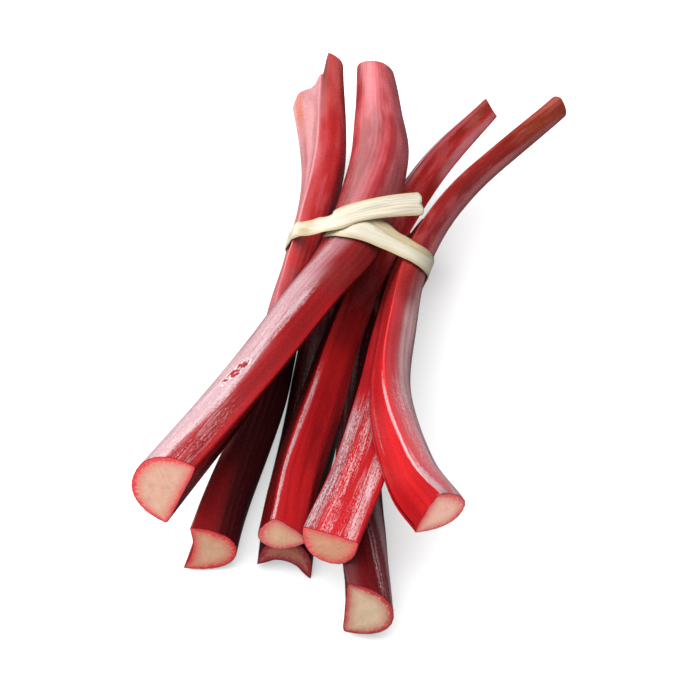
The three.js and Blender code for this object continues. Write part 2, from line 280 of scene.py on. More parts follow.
            (6, 74, 14, 0.0, 0.34, 0.95),
            (336, 334, 18, 0.0, 0.35, 0.42),
            (100, 140, 8, 0.24, 0.5, 0.3),
        ],
    },
    "stalk_7": {
        "middle": [
            [8, -168.5, 18], [7, -124, 15.2], [6, -74, 12.5],
            [8.5, -12.5, 11.8], [14, 45, 14.5], [22, 95.5, 17], [30.5, 148, 6],
        ],
        "width": [30.5, 26, 24, 22, 21, 20, 18],
        "thickness": [23.5, 20.5, 18, 17, 16, 14, 13],
        "channel": [1.5, 1.5, 1.5, 1.5, 1.5, 1.5, 1.5],
        "turn": [-86, -110, -135, -152, -165, -172, -176],
        "cut_butt": [0.04, 0.22],
        "cut_leaf": [0, 0],
        "back": [(120, 22, 28), (104, 20, 26), (110, 20, 28)],
        "flat": [(104, 34, 40), (96, 22, 30), (110, 20, 28)],
        "flesh": [(200, 173, 145), (200, 130, 110)],
        "rim": (170, 36, 42),
        # Painted light in these tints: the mauve ones at 2, 280 and 304 are painted reflections
        # on the flanks, and the near-black one at 300 is painted shade where the stalk lies
        # under stalk_5 and stalk_6.
        "tints": [
            (2, 2, 14, 0.0, 0.4, 0.8, (140, 78, 80)),
            (304, 304, 12, 0.0, 0.4, 0.6, (146, 72, 80)),
            (280, 286, 15, 0.0, 0.4, 0.85, (226, 176, 184)),
            (300, 300, 40, 0.46, 0.8, 0.8, (40, 8, 12)),
        ],
        # This frost band is a painted highlight streak.
        "frost": [
            (314, 314, 8, 0.01, 0.2, 0.3),
        ],
    },
}

# The listed colours are as seen in full light, painted light and shade included. A
# surface's colour is this share of them, in linear light, for the skin, the cut flesh and
# the strip.
SKIN_DEPTH = 0.4
FLESH_DEPTH = 0.78
STRIP_DEPTH = 0.42

# The section: shares of the thickness that lie behind its widest line and in front of
# it, and how much of the thickness the widest line is set forward.
BACK_SHARE, FLAT_SHARE, WIDEST_AT = 0.86, 0.14, 0.36

# The scar: its middle as a share of the length and an angle round the stalk, half its
# length in mm and half its width in degrees. In half its length it leans by a share of
# half its width.
SCARRED_STALK = "stalk_1"
SCAR = (0.163, 221.0, 13.0, 10.0)
SCAR_LEAN = 0.5

# The torn leaf end: how far its flat side is drawn down, how far the back stands up, and
# how far the lower corner is rounded off. Each is eased in between two places across the
# width, X, and through the thickness, Y. The shoulder's X is a bell's middle and width.
TORN_STALK = "stalk_2"
TEAR_DIP, TEAR_DIP_X, TEAR_DIP_Y = 30, (-20, 18), (4.5, 11.0)
TEAR_SHOULDER, TEAR_SHOULDER_X, TEAR_SHOULDER_Y = 3.5, (12, 8), (10.5, 4.0)
TEAR_CORNER, TEAR_CORNER_X = 9, (-11, -22)

# Half width in degrees above which a band of colour has crisper edges.
WIDE_BAND = 20

# The slants of the cuts and the tear fade out over these shares of the length.
CUT_FADE, TEAR_FADE = 1 / 9, 1 / 5

# Rings near each cut that keep its edge crisp, and the first of the even ones.
CUT_STATIONS = np.array([0.0, 0.1, 0.22, 0.4, 0.7, 1.1])
FIRST_EVEN_STATION = 1.8

# Where along a stalk its section gives the angles round it for all its rings.
RING_AT = 0.4

# Lengths round the ribbed back and round the whole skin, as shares of the width.
RIBBED_GIRTH, WHOLE_GIRTH = 1.35, 2.6

# The skin's dents are at most this deep, and its shallow lines this share of the ribs.
DENT_DEPTH, LINE_SHARE = 0.22, 0.5

# Waves over the skin, as their length along it and round it: the swaying of the ribs,
# round it in radians, and their coming and going, the dents and the paint's mottle, round
# it in tenths of a radian.
SWAY_WAVES, RIB_WAVES, DENT_WAVES = (160.0, 9.0), (120.0, 14.0), (60.0, 22.0)
MOTTLE_WAVES = (140.0, 12.0)

# Share of the way to the edge of a cut face's first rings, and of its even ones.
RIM_RINGS = [0.992, 0.98, 0.962, 0.94]
EVEN_RINGS = (0.905, 0.04)

# A cut face's edge is rounded by this drop, which is reached within about this distance.
EDGE_DROP, EDGE_ROUND = 0.3, 0.5

# The calm, leafward part of a stalk, where the painted clouds take over from the fibres,
# and where the ribs get fainter: begins and is complete at these shares of the length.
CALM_FROM, FAINT_RIBS_FROM = (0.42, 0.72), (0.45, 0.72)


def linear(colour):
    """Screen colour 0-255 as linear light: the share c is ((c + 0.055) / 1.055) to the 2.4."""
    share = np.asarray(colour, float) / 255.0
    return np.where(share <= 0.04045, share / 12.92, ((share + 0.055) / 1.055) ** 2.4)


def ease(low, high, x):
    """0 below low, 1 above high, and between them 3 u squared less 2 u cubed of the share u."""
    u = np.clip((x - low) / (high - low), 0.0, 1.0)
    return u * u * (3.0 - 2.0 * u)


def hump(x, centre, width):
    """A smooth bell of height 1: e to the minus of ((x - centre) / width) squared."""
    return np.exp(-(((x - centre) / width) ** 2))


def spline_cubics(values, t):
    """The cubic of the span that each t lies in, as its four factors from the cube's down,
    with the share of the span and the number of spans. It passes through both ends of the
    span with half the difference of the neighbours as its slope there, ends mirrored."""
    rows = np.asarray(values, float)
    if rows.ndim == 1:
        rows = rows[:, None]
    last = len(rows) - 1
    place = last * np.asarray(t, float)
    low = np.clip(np.floor(place).astype(int), 0, last - 1)
    padded = np.vstack([2 * rows[0] - rows[1], rows, 2 * rows[-1] - rows[-2]])
    p0, p1, p2, p3 = (padded[low + k] for k in range(4))
    m1, m2 = 0.5 * (p2 - p0), 0.5 * (p3 - p1)
    factors = 2 * p1 - 2 * p2 + m1 + m2, 3 * p2 - 3 * p1 - 2 * m1 - m2, m1, p1
    return factors, (place - low)[:, None], last


def spline(values, t):
    """A smooth run through the values at even steps: the value of each t's cubic."""
    (a, b, c, d), w, _ = spline_cubics(values, t)
    out = a * w**3 + (b * w**2 + c * w + d)
    return out[:, 0] if np.ndim(values[0]) == 0 else out


def spline_slope(values, t):
    """The slope of spline() with t: the derivative of each t's cubic."""
    (a, b, c, _), w, spans = spline_cubics(values, t)
    return (3 * a * w**2 + (2 * b * w + c)) * spans


def unit(vectors):
    """Vectors divided by their own lengths."""
    return vectors / np.linalg.norm(vectors, axis=-1, keepdims=True)


def run_along(points):
    """Distance along a line of points from the first one: the sum of the steps so far."""
    steps = np.linalg.norm(np.diff(points, axis=0), axis=1)
    return np.concatenate([[0], np.cumsum(steps)])


def turned(side, lift, angle):
    """Two directions square to each other, turned in their own plane: cos times the one
    less sin times the other, and cos times the other plus sin times the one."""
    c, s = np.cos(angle), np.sin(angle)
    return c * side - s * lift, c * lift + s * side


def section(phi, width, thickness, channel):
    """The D section at angles phi: x is half the width times cos to the 0.9, y is 0.36 of the
    thickness, less 0.86 of it times sin to the 0.85 on the back, or plus 0.14 of it times sin
    to the 0.6 less the channel times sin squared on the flat side."""
    s = np.sin(phi)
    c = np.cos(phi)
    x = width / 2 * np.sign(c) * np.abs(c) ** 0.9
    back = -BACK_SHARE * thickness * np.abs(s) ** 0.85
    flat = FLAT_SHARE * thickness * np.abs(s) ** 0.6 - channel * s * s
    return x, WIDEST_AT * thickness + np.where(s < 0, back, flat)


def section_sizes(stalk, t):
    """Width, thickness and channel of the section at each t, as columns."""
    return [spline(stalk[key], t)[:, None] for key in ("width", "thickness", "channel")]


def stalk_number(name):
    """The number at the end of a stalk's name, which also seeds its waves."""
    return int(name[-1])


def stalk_axes(stalk, t):
    """Middle, direction ahead, direction across and direction the flat side faces, at each t.
    Across and facing are the level side and the upright one turned about ahead by turn."""
    middle = spline(stalk["middle"], t)
    ahead = unit(spline_slope(stalk["middle"], t))
    side = unit(np.cross(ahead, [0.0, 0.0, 1.0]))
    lift = np.cross(side, ahead)
    across, facing = turned(side, lift, np.radians(spline(stalk["turn"], t))[:, None])
    return middle, ahead, across, facing


def waver(u, v, seed, scale_u, scale_v, terms=9):
    """Smooth random waves over two coordinates, about -1 to 1: a sum of sines whose random
    rates lie between 0.3 and 1 of one wave in scale_u or scale_v, divided by root terms."""
    rng = np.random.default_rng(seed)
    out = np.zeros(np.broadcast(u, v).shape)
    for _ in range(terms):
        rate_u, rate_v = rng.uniform(0.3, 1.0, 2) * rng.choice([-1, 1], 2)
        shift = rng.uniform(0, 2 * math.pi)
        out += np.sin(2 * math.pi * (rate_u * u / scale_u + rate_v * v / scale_v) + shift)
    return out / math.sqrt(terms)


def stations(stalk, count):
    """Values of t at even distances along the stalk, with close ones at both ends so that
    the cut edges stay crisp, and the distance in mm of each."""
    fine = np.linspace(0, 1, 3000)
    run = run_along(spline(stalk["middle"], fine))
    even = np.linspace(
        FIRST_EVEN_STATION, run[-1] - FIRST_EVEN_STATION, count - 2 * len(CUT_STATIONS)
    )
    place = np.concatenate([CUT_STATIONS, even, run[-1] - CUT_STATIONS[::-1]])
    return np.interp(place, run, fine), place


def ring_angles(stalk, count):
    """Angles round the section at RING_AT that lie at even distances along its outline,
    from the edge at angle 0."""
    phi = np.linspace(0, 2 * math.pi, 6001)
    x, y = section(phi[None, :], *section_sizes(stalk, [RING_AT]))
    run = run_along(np.stack([x[0], y[0]], 1))
    even = np.linspace(0, run[-1], count, endpoint=False)
    return np.interp(even, run, phi)


def end_shift(name, t, x, y):
    """How far the skin is set along the stalk by the slant of the cuts, which is a share of
    x plus a share of y, and at a torn leaf end by a shoulder on the back less a dip on the
    flat side and a rounded corner. Each fades with the square of one less the distance
    from the end over its fade."""
    shift = 0.0
    for key, from_end in (("cut_butt", t), ("cut_leaf", 1 - t)):
        slant_x, slant_y = STALKS[name][key]
        near = np.clip(1 - from_end / CUT_FADE, 0, 1)[:, None] ** 2
        shift = shift + near * (slant_x * x + slant_y * y)
    if name == TORN_STALK:
        dip = TEAR_DIP * ease(*TEAR_DIP_X, x) * ease(*TEAR_DIP_Y, y)
        shoulder = TEAR_SHOULDER * hump(x, *TEAR_SHOULDER_X) * ease(*TEAR_SHOULDER_Y, y)
        corner = TEAR_CORNER * ease(*TEAR_CORNER_X, x)
        near = np.clip(1 - (1 - t) / TEAR_FADE, 0, 1)[:, None] ** 2
        shift += near * (shoulder - dip - corner)
    return shift


def stalk_skin(name, t, phi, relief=None):
    """Points of the skin in mm, one row for each t and one column for each angle: the D
    section set across the middle line, pushed out by relief along the section's normal.
    A point under the floor is set on it. x and y are returned too."""
    stalk = STALKS[name]
    middle, ahead, across, facing = stalk_axes(stalk, t)
    x, y = section(phi[None, :], *section_sizes(stalk, t))
    if relief is not None:
        dx = np.roll(x, -1, 1) - np.roll(x, 1, 1)
        dy = np.roll(y, -1, 1) - np.roll(y, 1, 1)
        length = np.hypot(dx, dy)
        x = x + relief * dy / length
        y = y - relief * dx / length
    shift = end_shift(name, t, x, y)
    points = middle[:, None] + x[..., None] * across[:, None]
    points += y[..., None] * facing[:, None] + shift[..., None] * ahead[:, None]
    points[..., 2] = np.maximum(points[..., 2], 0.0)
    return points, x, y


def skin_relief(name, t, place, phi, rib_pitch, rib_depth):
    """Height of the skin's relief in mm, never above its plain surface: rounded ribs along
    the back, as cos of the swaying angle times their number, shallow lines along the flat
    side, as cos of the place across it, and slow dents over both. The ribs come and go,
    and get fainter towards the leaf end."""
    seed = stalk_number(name) * 100
    run, around = place[:, None], phi[None, :]
    s = np.sin(around)
    width = float(spline(STALKS[name]["width"], t).mean())
    count = max(8, round(RIBBED_GIRTH * width / rib_pitch))
    sway = 0.05 * waver(run, around, seed + 1, *SWAY_WAVES)
    rib = 0.5 + 0.5 * np.cos(2 * count * (around + sway))
    strength = 0.65 + 0.35 * waver(run, around * 10, seed + 2, *RIB_WAVES)
    strength = strength * (1 - 0.65 * ease(*FAINT_RIBS_FROM, t)[:, None])
    depth = rib_depth * np.clip(strength, 0.1, 1)
    lines = 0.5 + 0.5 * np.cos(14 * np.cos(around) + 30 * sway)
    dents = 0.5 + 0.5 * waver(run, around * 10, seed + 3, *DENT_WAVES)
    out = -depth * ease(0.0, 0.35, -s) * (1 - rib**1.5)
    out -= LINE_SHARE * depth * ease(0.1, 0.6, s) * lines
    return out - DENT_DEPTH * np.clip(dents, 0, 1)


def outline_distance(x, y, edge_x, edge_y):
    """Shortest distance from each point to the closed outline: the least, over the outline's
    pieces, of the distance to the nearest spot of the piece."""
    to_x = np.roll(edge_x, -1) - edge_x
    to_y = np.roll(edge_y, -1) - edge_y
    px = x.reshape(-1, 1) - edge_x
    py = y.reshape(-1, 1) - edge_y
    share = np.clip((px * to_x + py * to_y) / (to_x**2 + to_y**2 + 1e-9), 0, 1)
    gap = np.hypot(px - share * to_x, py - share * to_y)
    return gap.min(1).reshape(x.shape)


def cut_face(edge, edge_x, edge_y, outward, rings, seed):
    """A cut face as rings that shrink from the skin's edge to its middle: each point is the
    middle plus a share of the way to the edge. The edge is rounded by a drop that fades
    with e to the minus distance, and the flesh swells and dips a little. Returned are the
    points, the middle one, and for each point x, y and its distance from the edge."""
    share = np.concatenate([RIM_RINGS, np.linspace(*EVEN_RINGS, rings)])
    middle = edge.mean(0)
    x = share[:, None] * (edge_x - edge_x.mean()) + edge_x.mean()
    y = share[:, None] * (edge_y - edge_y.mean()) + edge_y.mean()
    inward = outline_distance(x, y, edge_x, edge_y)
    drop = EDGE_DROP * (1 - np.exp(-inward / EDGE_ROUND))
    drop += 0.12 * waver(x, y, seed, 9.0, 9.0) + 0.05 * waver(x, y, seed + 1, 2.4, 2.4)
    drop *= ease(0.0, 0.3, inward)
    points = middle + share[:, None, None] * (edge - middle) + drop[..., None] * outward
    pole = middle + outward * float(drop[-1].mean())
    return points, pole, np.stack([x, y, inward], -1)


def skin_paint(name, t, place, phi):
    """The skin's broad colour, linear, painted light and shade included: back and flat colours
    blended by sin of the angle, each running smoothly from butt through middle to leaf end,
    then the tints over them, some of which are painted sheen, reflection and shade, and a
    tenth of slow mottle."""
    stalk = STALKS[name]
    seed = stalk_number(name) * 100 + 50
    back, flat = (spline(linear(stalk[key]), t)[:, None] for key in ("back", "flat"))
    paint = back + (flat - back) * ease(-0.12, 0.12, np.sin(phi)[None, :, None])
    for number, (*band, colour) in enumerate(stalk["tints"]):
        share = band_strength(band, t, place, phi, seed + 10 + number)[..., None]
        paint = paint + (linear(colour) - paint) * share
    mottle = waver(place[:, None], phi[None, :] * 10, seed, *MOTTLE_WAVES)[..., None]
    return np.clip(SKIN_DEPTH * paint * (1 + 0.1 * mottle), 0.002, 1.0)


def band_strength(band, t, place, phi, seed):
    """Strength of a band along a stalk: a flat-topped bell, e to the minus of the share of
    the half width to the 4th, or the 6th in a wide band. Its middle runs evenly from butt
    to leaf end and wanders a little, and it is eased in and out along the stalk."""
    at_butt, at_leaf, half, start, stop, strength = band
    wander = 0.22 * half * waver(place, 0 * place, seed, 70.0, 9.0, 5)
    centre = at_butt + (at_leaf - at_butt) * t + wander
    away = (np.degrees(phi)[None, :] - centre[:, None] + 180) % 360 - 180
    reach = ease(start - 0.04, start + 0.01, t) * (1 - ease(stop - 0.04, stop + 0.04, t))
    edge = 6 if half > WIDE_BAND else 4
    return strength * np.exp(-((away / half) ** edge)) * reach[:, None]


def skin_frost_and_highlight(name, t, place, phi):
    """Strength of the broken pale skin, pale streaks and painted highlights: the strongest of
    the stalk's frost bands.
    """
    seed = stalk_number(name) * 100 + 80
    out = np.zeros((len(t), len(phi)))
    for number, band in enumerate(STALKS[name]["frost"]):
        out = np.maximum(out, band_strength(band, t, place, phi, seed + number))
    return out


def skin_scar(t, place, phi):
    """Strength of the scar: 1 less the square of the distance from its middle, each part of
    the distance divided by the scar's half size, and never below 0."""
    at, angle, half_length, half_angle = SCAR
    along = (place - np.interp(at, t, place))[:, None] / half_length
    away = (np.degrees(phi)[None, :] - angle) / half_angle + SCAR_LEAN * along
    return np.clip(1 - along**2 - away**2, 0, 1)


# ---- the raffia strip ---------------------------------------------------

# The plane that the strip runs round the bunch in: a point of it, the direction square to
# it, and in it the direction right and the one up.
TIE_CENTRE = np.array([-3.0, 47.0, 76.0])
TIE_NORMAL = unit(np.array([0.36, 0.7, 0.61]))
TIE_ACROSS = unit(np.array([1.0, 0, 0]) - TIE_NORMAL * TIE_NORMAL[0])
TIE_UP = np.cross(TIE_ACROSS, TIE_NORMAL)

# The free end: points that its middle passes through, and degrees that it is twisted by.
TAIL_MIDDLE = [
    [-15.5, 56, 72], [-7.5, 54.5, 76.5], [1, 58.5, 78.5],
    [13, 62, 79.5], [26, 64.5, 80], [39, 67, 79.5],
]
TAIL_TURN = 35.0

# The strip starts under its own crossing, goes right, down, under the bunch and
# up on the left. Degrees in the tie's plane, from its right side towards its top.
STRIP_START = 118.0
STRIP_LEAVES = -228.0

# The strip's width as a share of its plain width, and how far its middle lies along the
# tie's normal, at places along it: from its start, back from where it leaves the ring as
# minus numbers, and on from there as FREE_END and more.
FREE_END = 1000
STRIP_WIDTHS = [
    (0, 0.9), (15, 1.12), (31, 1.24), (40, 1.22), (53, 1.04), (66, 1.0), (78, 0.93),
    (105, 0.8), (150, 0.73), (215, 0.8), (-40, 0.92), (-26, 0.8), (-17, 0.76),
    (-7, 1.04), (1004, 1.04), (1023, 0.92), (1050, 0.93),
]
STRIP_OFFSETS = [
    (0, 1.5), (15, 3.6), (31, 6.3), (40, 5.7), (53, 3.2), (66, 1.2), (78, 0.6), (105, 0.0),
    (215, 0.0), (-40, 1.0), (-26, 1.0), (-17, 2.0), (-8, 3.4), (1001, 1.6), (1012, 0.4),
]

# A crease along the strip's upper half: places along the strip and across it, its width,
# and the stretches over which it is eased in and out.
CREASE_STEPS = [20, 31, 41, 56, 70]
CREASE_DEPTHS = [11.5, 10.5, 8.2, 5.9, 4.6]
CREASE_WIDTH, CREASE_BEGINS, CREASE_ENDS = 0.8, (20, 28), (62, 76)

# The bunch's reach is worked out for slabs along the tie's normal: the first and last
# depth and the number of slabs, which one is at depth 0, half the thickness of each, and
# half that of the slab whose outline gives the middle of them all.
REACH_DEPTHS, PLAIN_SLAB, REACH_SLAB, MIDDLE_SLAB = (-9, 18, 10), 3, 1.6, 6

# For it the stalks are read at this stretch of their length, with so many rings of so
# many points, and the rays go so many degrees past where the strip leaves the ring.
REACH_STRETCH, REACH_POINTS = (0.2, 0.9, 260), 96
RAYS, RAYS_PAST = 1400, 40

# A support further from a ray than this cosine doesn't bear on it.
LEAST_COSINE = 0.2

# From the spot where the strip leaves the ring: the stretch over which it eases to the
# free end, the one over which it is lifted over its own start with a gap between them, and
# the middle and width of the smoothed bend.
LEAVES_OVER, LIFTS_OVER, LIFT_GAP, BEND = (-16, 5), (-36, -22), 0.25, (-7, 18)

# The free end's middle line is carried straight back this far before its first point.
CARRIED_BACK = 40

# How many neighbouring rows smooth the bend and the reach, both odd numbers.
BEND_ROWS, REACH_ROWS = 41, 23

# Distance between the strip's fibre grooves, and what is left of its thickness where it is
# thinnest. Its start tapers over a stretch, and its free tip loses a share of its
# thickness over another. Lobes stand out at the tip and fade over a third.
FIBRE_PITCH, LEAST_THICKNESS = 1.9, 0.02
START_TAPER, TIP_TAPER, TIP_LOSES = 2.5, 0.8, 0.55
LOBES, LOBES_FADE = 1.7, 5

# Forms on the strip's outer face and the shade painted on it, as the middle and width of a
# bell along the strip or across it. The hollow, the pinch and the bend's painted shade are
# placed from where the strip leaves the ring. The hollow and the painted shade on one half
# are eased in between two places.
HOLLOW_ACROSS, HOLLOW_BEGINS = (-1.2, 1.1), (-30, -10)
PINCH_ACROSS, PINCH_ALONG = (0.6, 0.7), (-20, 9)
KNOT_ALONG, KNOT_ACROSS = (32.5, 3.2), (6.8, 1.5)
PAINTED_SHADE_ALONG, PAINTED_SHADE_ACROSS, PAINTED_SHADE_BEND = (50, 20), (-0.3, 0.7), (-18, 9)


def bunch_reach(depths, angles):
    """How far the bunch reaches from the middle of its outline in the tie's plane, for each
    ray angle and each depth along the tie's normal. The support in a direction is the largest
    of the points' products with it, and the reach along a ray is the smallest, over the
    directions near it, of the support divided by the cosine of the angle between them."""
    t = np.linspace(*REACH_STRETCH)
    cloud = [
        stalk_skin(name, t, ring_angles(stalk, REACH_POINTS))[0].reshape(-1, 3)
        for name, stalk in STALKS.items()
    ]
    away = np.concatenate(cloud) - TIE_CENTRE
    depth = away @ TIE_NORMAL
    flat = np.stack([away @ TIE_ACROSS, away @ TIE_UP], 1)
    near = flat[np.abs(depth) < MIDDLE_SLAB]
    middle = (near.min(0) + near.max(0)) / 2
    lean = np.radians(np.arange(0, 360, 1.0))
    heading = np.stack([np.cos(lean), np.sin(lean)])
    between = np.cos(angles[:, None] - lean[None, :])
    out = []
    for level in depths:
        slab = flat[np.abs(depth - level) < REACH_SLAB] - middle
        support = (slab @ heading).max(0)
        reach = support / np.maximum(between, LEAST_COSINE)
        out.append(np.where(between > LEAST_COSINE, reach, np.inf).min(1))
    return np.array(out), middle


# ---- meshes -------------------------------------------------------------

# The kind of a mesh attribute and what its values are called, by how many numbers it has
# at a point.
ATTRIBUTE_KINDS = {
    1: ("FLOAT", "value"), 3: ("FLOAT_VECTOR", "vector"), 4: ("FLOAT_COLOR", "color"),
}

# How far apart two stalks lie in their materials' patterns, on the skin and on the cuts.
GRAIN_APART, CUTS_APART = 1000.0, 50.0

# The middle of a cut face counts as this far from the skin.
MIDDLE_INWARD = 12.0


def grid_quads(rows, columns, first=0):
    """Corner numbers of the quads between neighbouring rings of closed columns."""
    i = np.arange(rows - 1)[:, None]
    j = np.arange(columns)[None, :]
    k = (j + 1) % columns
    corners = [i * columns + j, (i + 1) * columns + j, (i + 1) * columns + k, i * columns + k]
    return first + np.stack([c + 0 * (i + j) for c in corners], -1).reshape(-1, 4)


def fan(ring, pole, flip):
    """Triangles from each step of a ring to its pole."""
    after = np.roll(ring, -1)
    order = (after, ring) if flip else (ring, after)
    return np.stack([order[0], order[1], np.full(len(ring), pole)], -1)


def added(name, data):
    """A new object of this data, put into the scene."""
    made = bpy.data.objects.new(name, data)
    bpy.context.scene.collection.objects.link(made)
    return made


def add_mesh(name, points, quads, triangles, material_of_face, materials, attributes):
    """An object at the origin whose mesh has these points in mm, these faces, and these
    values at its points."""
    mesh = bpy.data.meshes.new(name)
    corners = np.concatenate([quads.ravel(), triangles.ravel()])
    starts = np.concatenate(
        [np.arange(len(quads)) * 4, len(quads) * 4 + np.arange(len(triangles)) * 3]
    )
    mesh.vertices.add(len(points))
    placed = (points - FOOTPRINT_MIDDLE) * MM
    mesh.vertices.foreach_set("co", placed.astype(np.float32).ravel())
    mesh.loops.add(len(corners))
    mesh.loops.foreach_set("vertex_index", corners.astype(np.int32))
    mesh.polygons.add(len(starts))
    mesh.polygons.foreach_set("loop_start", starts.astype(np.int32))
    mesh.polygons.foreach_set("material_index", material_of_face.astype(np.int32))
    mesh.update(calc_edges=True)
    mesh.shade_smooth()
    for label, values in attributes.items():
        kind, field = ATTRIBUTE_KINDS[values.size // len(points)]
        layer = mesh.attributes.new(label, kind, "POINT")
        layer.data.foreach_set(field, values.astype(np.float32).ravel())
    for material in materials:
        mesh.materials.append(material)
    if mesh.validate():
        raise RuntimeError(name + ": the mesh had faults")
    return added(name, mesh)


# ---- building the stalks ------------------------------------------------


def stalk_faces(rows, face_rows, count):
    """Corner numbers of a stalk's faces, as a list of quads that starts with the skin's and a
    list of the triangles in the middles of the cuts. Its points are the skin's rows, the
    rings of the butt's face and of the leaf end's, and the middles of these two."""
    ring = np.arange(count)
    after = (ring + 1) % count
    last = (rows - 1) * count
    butt, leaf, pole = np.cumsum([rows, face_rows, face_rows]) * count
    quads = [
        grid_quads(rows, count),
        np.stack([ring, after, butt + after, butt + ring], -1),
        grid_quads(face_rows, count, butt)[:, ::-1],
        np.stack([last + after, last + ring, leaf + ring, leaf + after], -1),
        grid_quads(face_rows, count, leaf),
    ]
    triangles = [
        fan(leaf - count + ring, pole, False),
        fan(pole - count + ring, pole + 1, True),
    ]
    return quads, triangles


def stalk_values(name, t, place, phi, cuts):
    """What the materials read at a stalk's points. paint and rim are its colours, grain is
    the place round and along the skin as if the section were round, and cut holds a cut
    face's x, y and distance from the skin. frost, scar and calm are strengths; on the skin
    frost is pale streaks and painted highlights, and on the faces it tells the rounded back
    from the flat side."""
    stalk = STALKS[name]
    number = stalk_number(name)
    rows, count = len(t), len(phi)
    skin = rows * count
    face = cuts[0][..., 0].size
    pole = skin + 2 * face
    total = pole + 2
    paint, rim = np.ones((2, total, 4))
    grain, cut = np.zeros((2, total, 3))
    frost, scar, calm = np.zeros((3, total))
    paint[:skin, :3] = skin_paint(name, t, place, phi).reshape(-1, 3)
    rim[:, :3] = FLESH_DEPTH * linear(stalk["rim"])
    around = np.arange(1, count + 1) / count * 2 * math.pi
    radius = WHOLE_GIRTH * float(np.mean(stalk["width"])) / (2 * math.pi)
    grain[:skin, 0] = np.tile(radius * np.cos(around), rows)
    grain[:skin, 1] = np.tile(radius * np.sin(around), rows)
    grain[:skin, 2] = np.repeat(place, count) + GRAIN_APART * number
    frost[:skin] = skin_frost_and_highlight(name, t, place, phi).ravel()
    frost[skin:pole] = np.tile(ease(0.3, -0.5, np.sin(phi)), 2 * face // count)
    frost[pole:] = 0.5
    calm[:skin] = np.repeat(ease(*CALM_FROM, t), count)
    if name == SCARRED_STALK:
        scar[:skin] = skin_scar(t, place, phi).ravel()
    for end, colour in enumerate(FLESH_DEPTH * linear(stalk["flesh"])):
        first = skin + end * face
        cut[first: first + face] = cuts[end].reshape(-1, 3)
        paint[first: first + face, :3] = paint[pole + end, :3] = colour
    cut[pole:, 2] = MIDDLE_INWARD
    cut[skin:, :2] += CUTS_APART * number
    return {
        "paint": paint, "grain": grain, "cut": cut, "frost": frost, "calm": calm,
        "scar": scar, "rim": rim,
    }


def build_stalk(name, settings, skin, flesh):
    """One stalk: its skin as a grid of stations and angles, and a cut face at each end."""
    stalk = STALKS[name]
    seed = stalk_number(name)
    t, place = stations(stalk, settings.stations)
    phi = ring_angles(stalk, settings.ring_points)
    pitch, depth = settings.rib_pitch / MM, settings.rib_depth / MM
    relief = skin_relief(name, t, place, phi, pitch, depth)
    grid, x, y = stalk_skin(name, t, phi, relief)
    _, ahead, _, _ = stalk_axes(stalk, t)
    rings = settings.face_rings
    butt = cut_face(grid[0], x[0], y[0], -ahead[0], rings, seed)
    leaf = cut_face(grid[-1], x[-1], y[-1], ahead[-1], rings, seed + 20)
    points = np.concatenate([
        grid.reshape(-1, 3), butt[0].reshape(-1, 3), leaf[0].reshape(-1, 3),
        [butt[1], leaf[1]],
    ])
    quads, triangles = stalk_faces(len(t), len(butt[0]), len(phi))
    slots = [np.zeros(len(quads[0]))] + [np.ones(len(f)) for f in quads[1:] + triangles]
    made = add_mesh(
        name + "_skin", points, np.concatenate(quads), np.concatenate(triangles),
        np.concatenate(slots), [skin, flesh],
        stalk_values(name, t, place, phi, (butt[2], leaf[2])),
    )
    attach(made, "root")
    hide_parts(name)


# ---- building the strip -------------------------------------------------


def stretched_run(table, steps, leave_at):
    """Values along the strip: the first one, plus each change to the next eased in over the
    stretch between their places. A place below 0 counts back from leave_at, and one from
    FREE_END up counts on from it."""
    places = [
        p - FREE_END + leave_at if p >= FREE_END else p + leave_at if p < 0 else p
        for p, _ in table
    ]
    values = [value for _, value in table]
    out = np.full(len(steps), float(values[0]))
    for k in range(1, len(table)):
        out += (values[k] - values[k - 1]) * ease(places[k - 1], places[k], steps)
    return out


def smoothed(rows, count):
    """Rows as the means of the count nearest ones, weighted by a raised cosine. The first
    and last rows, which have too few neighbours, stay out."""
    window = np.hanning(count) / np.hanning(count).sum()
    spare = len(rows) - count + 1
    return sum(rows[k: spare + k] * window[k] for k in range(count))


def ring_rows(reach, middle, angle, row, depth, lift):
    """Points of the strip's inner face on its way round the bunch: along the ray at each
    row's angle by the reach there plus the row's lift. The reach is read between the rows
    and the slabs of the table by shares of both."""
    slabs = np.linspace(*REACH_DEPTHS)
    low = np.clip(row.astype(int), 0, reach.shape[1] - 2)[:, None]
    share = row[:, None] - low
    level = (depth - slabs[0]) / (slabs[1] - slabs[0])
    level = np.clip(level, 0, len(slabs) - 1.001)
    under = level.astype(int)
    part = level - under
    near = reach[under, low] * (1 - part) + reach[under + 1, low] * part
    far = reach[under, low + 1] * (1 - part) + reach[under + 1, low + 1] * part
    radius = (near * (1 - share) + far * share + lift[:, None])[..., None]
    across = radius * np.cos(angle)[:, None, None] + middle[0]
    up = radius * np.sin(angle)[:, None, None] + middle[1]
    return TIE_CENTRE + across * TIE_ACROSS + up * TIE_UP + depth[..., None] * TIE_NORMAL


def free_line():
    """Values of t along the free end's middle line, and the distance of each along it."""
    t = np.linspace(0, 1, 400)
    return t, run_along(spline(TAIL_MIDDLE, t))


def free_rows(past, depth):
    """Points of the strip's inner face along its free end: flat across the end's middle
    line, twisted evenly, and carried straight back before the line's first point."""
    fine, run = free_line()
    t = np.interp(past, run, fine)
    ahead = unit(spline_slope(TAIL_MIDDLE, t))
    middle = spline(TAIL_MIDDLE, t) + np.minimum(past, 0)[:, None] * ahead
    side = unit(np.cross(ahead, [0, 0, 1.0]))
    side, _ = turned(side, np.cross(side, ahead), np.radians(TAIL_TURN * t)[:, None])
    return middle[:, None] - depth[..., None] * side[:, None]


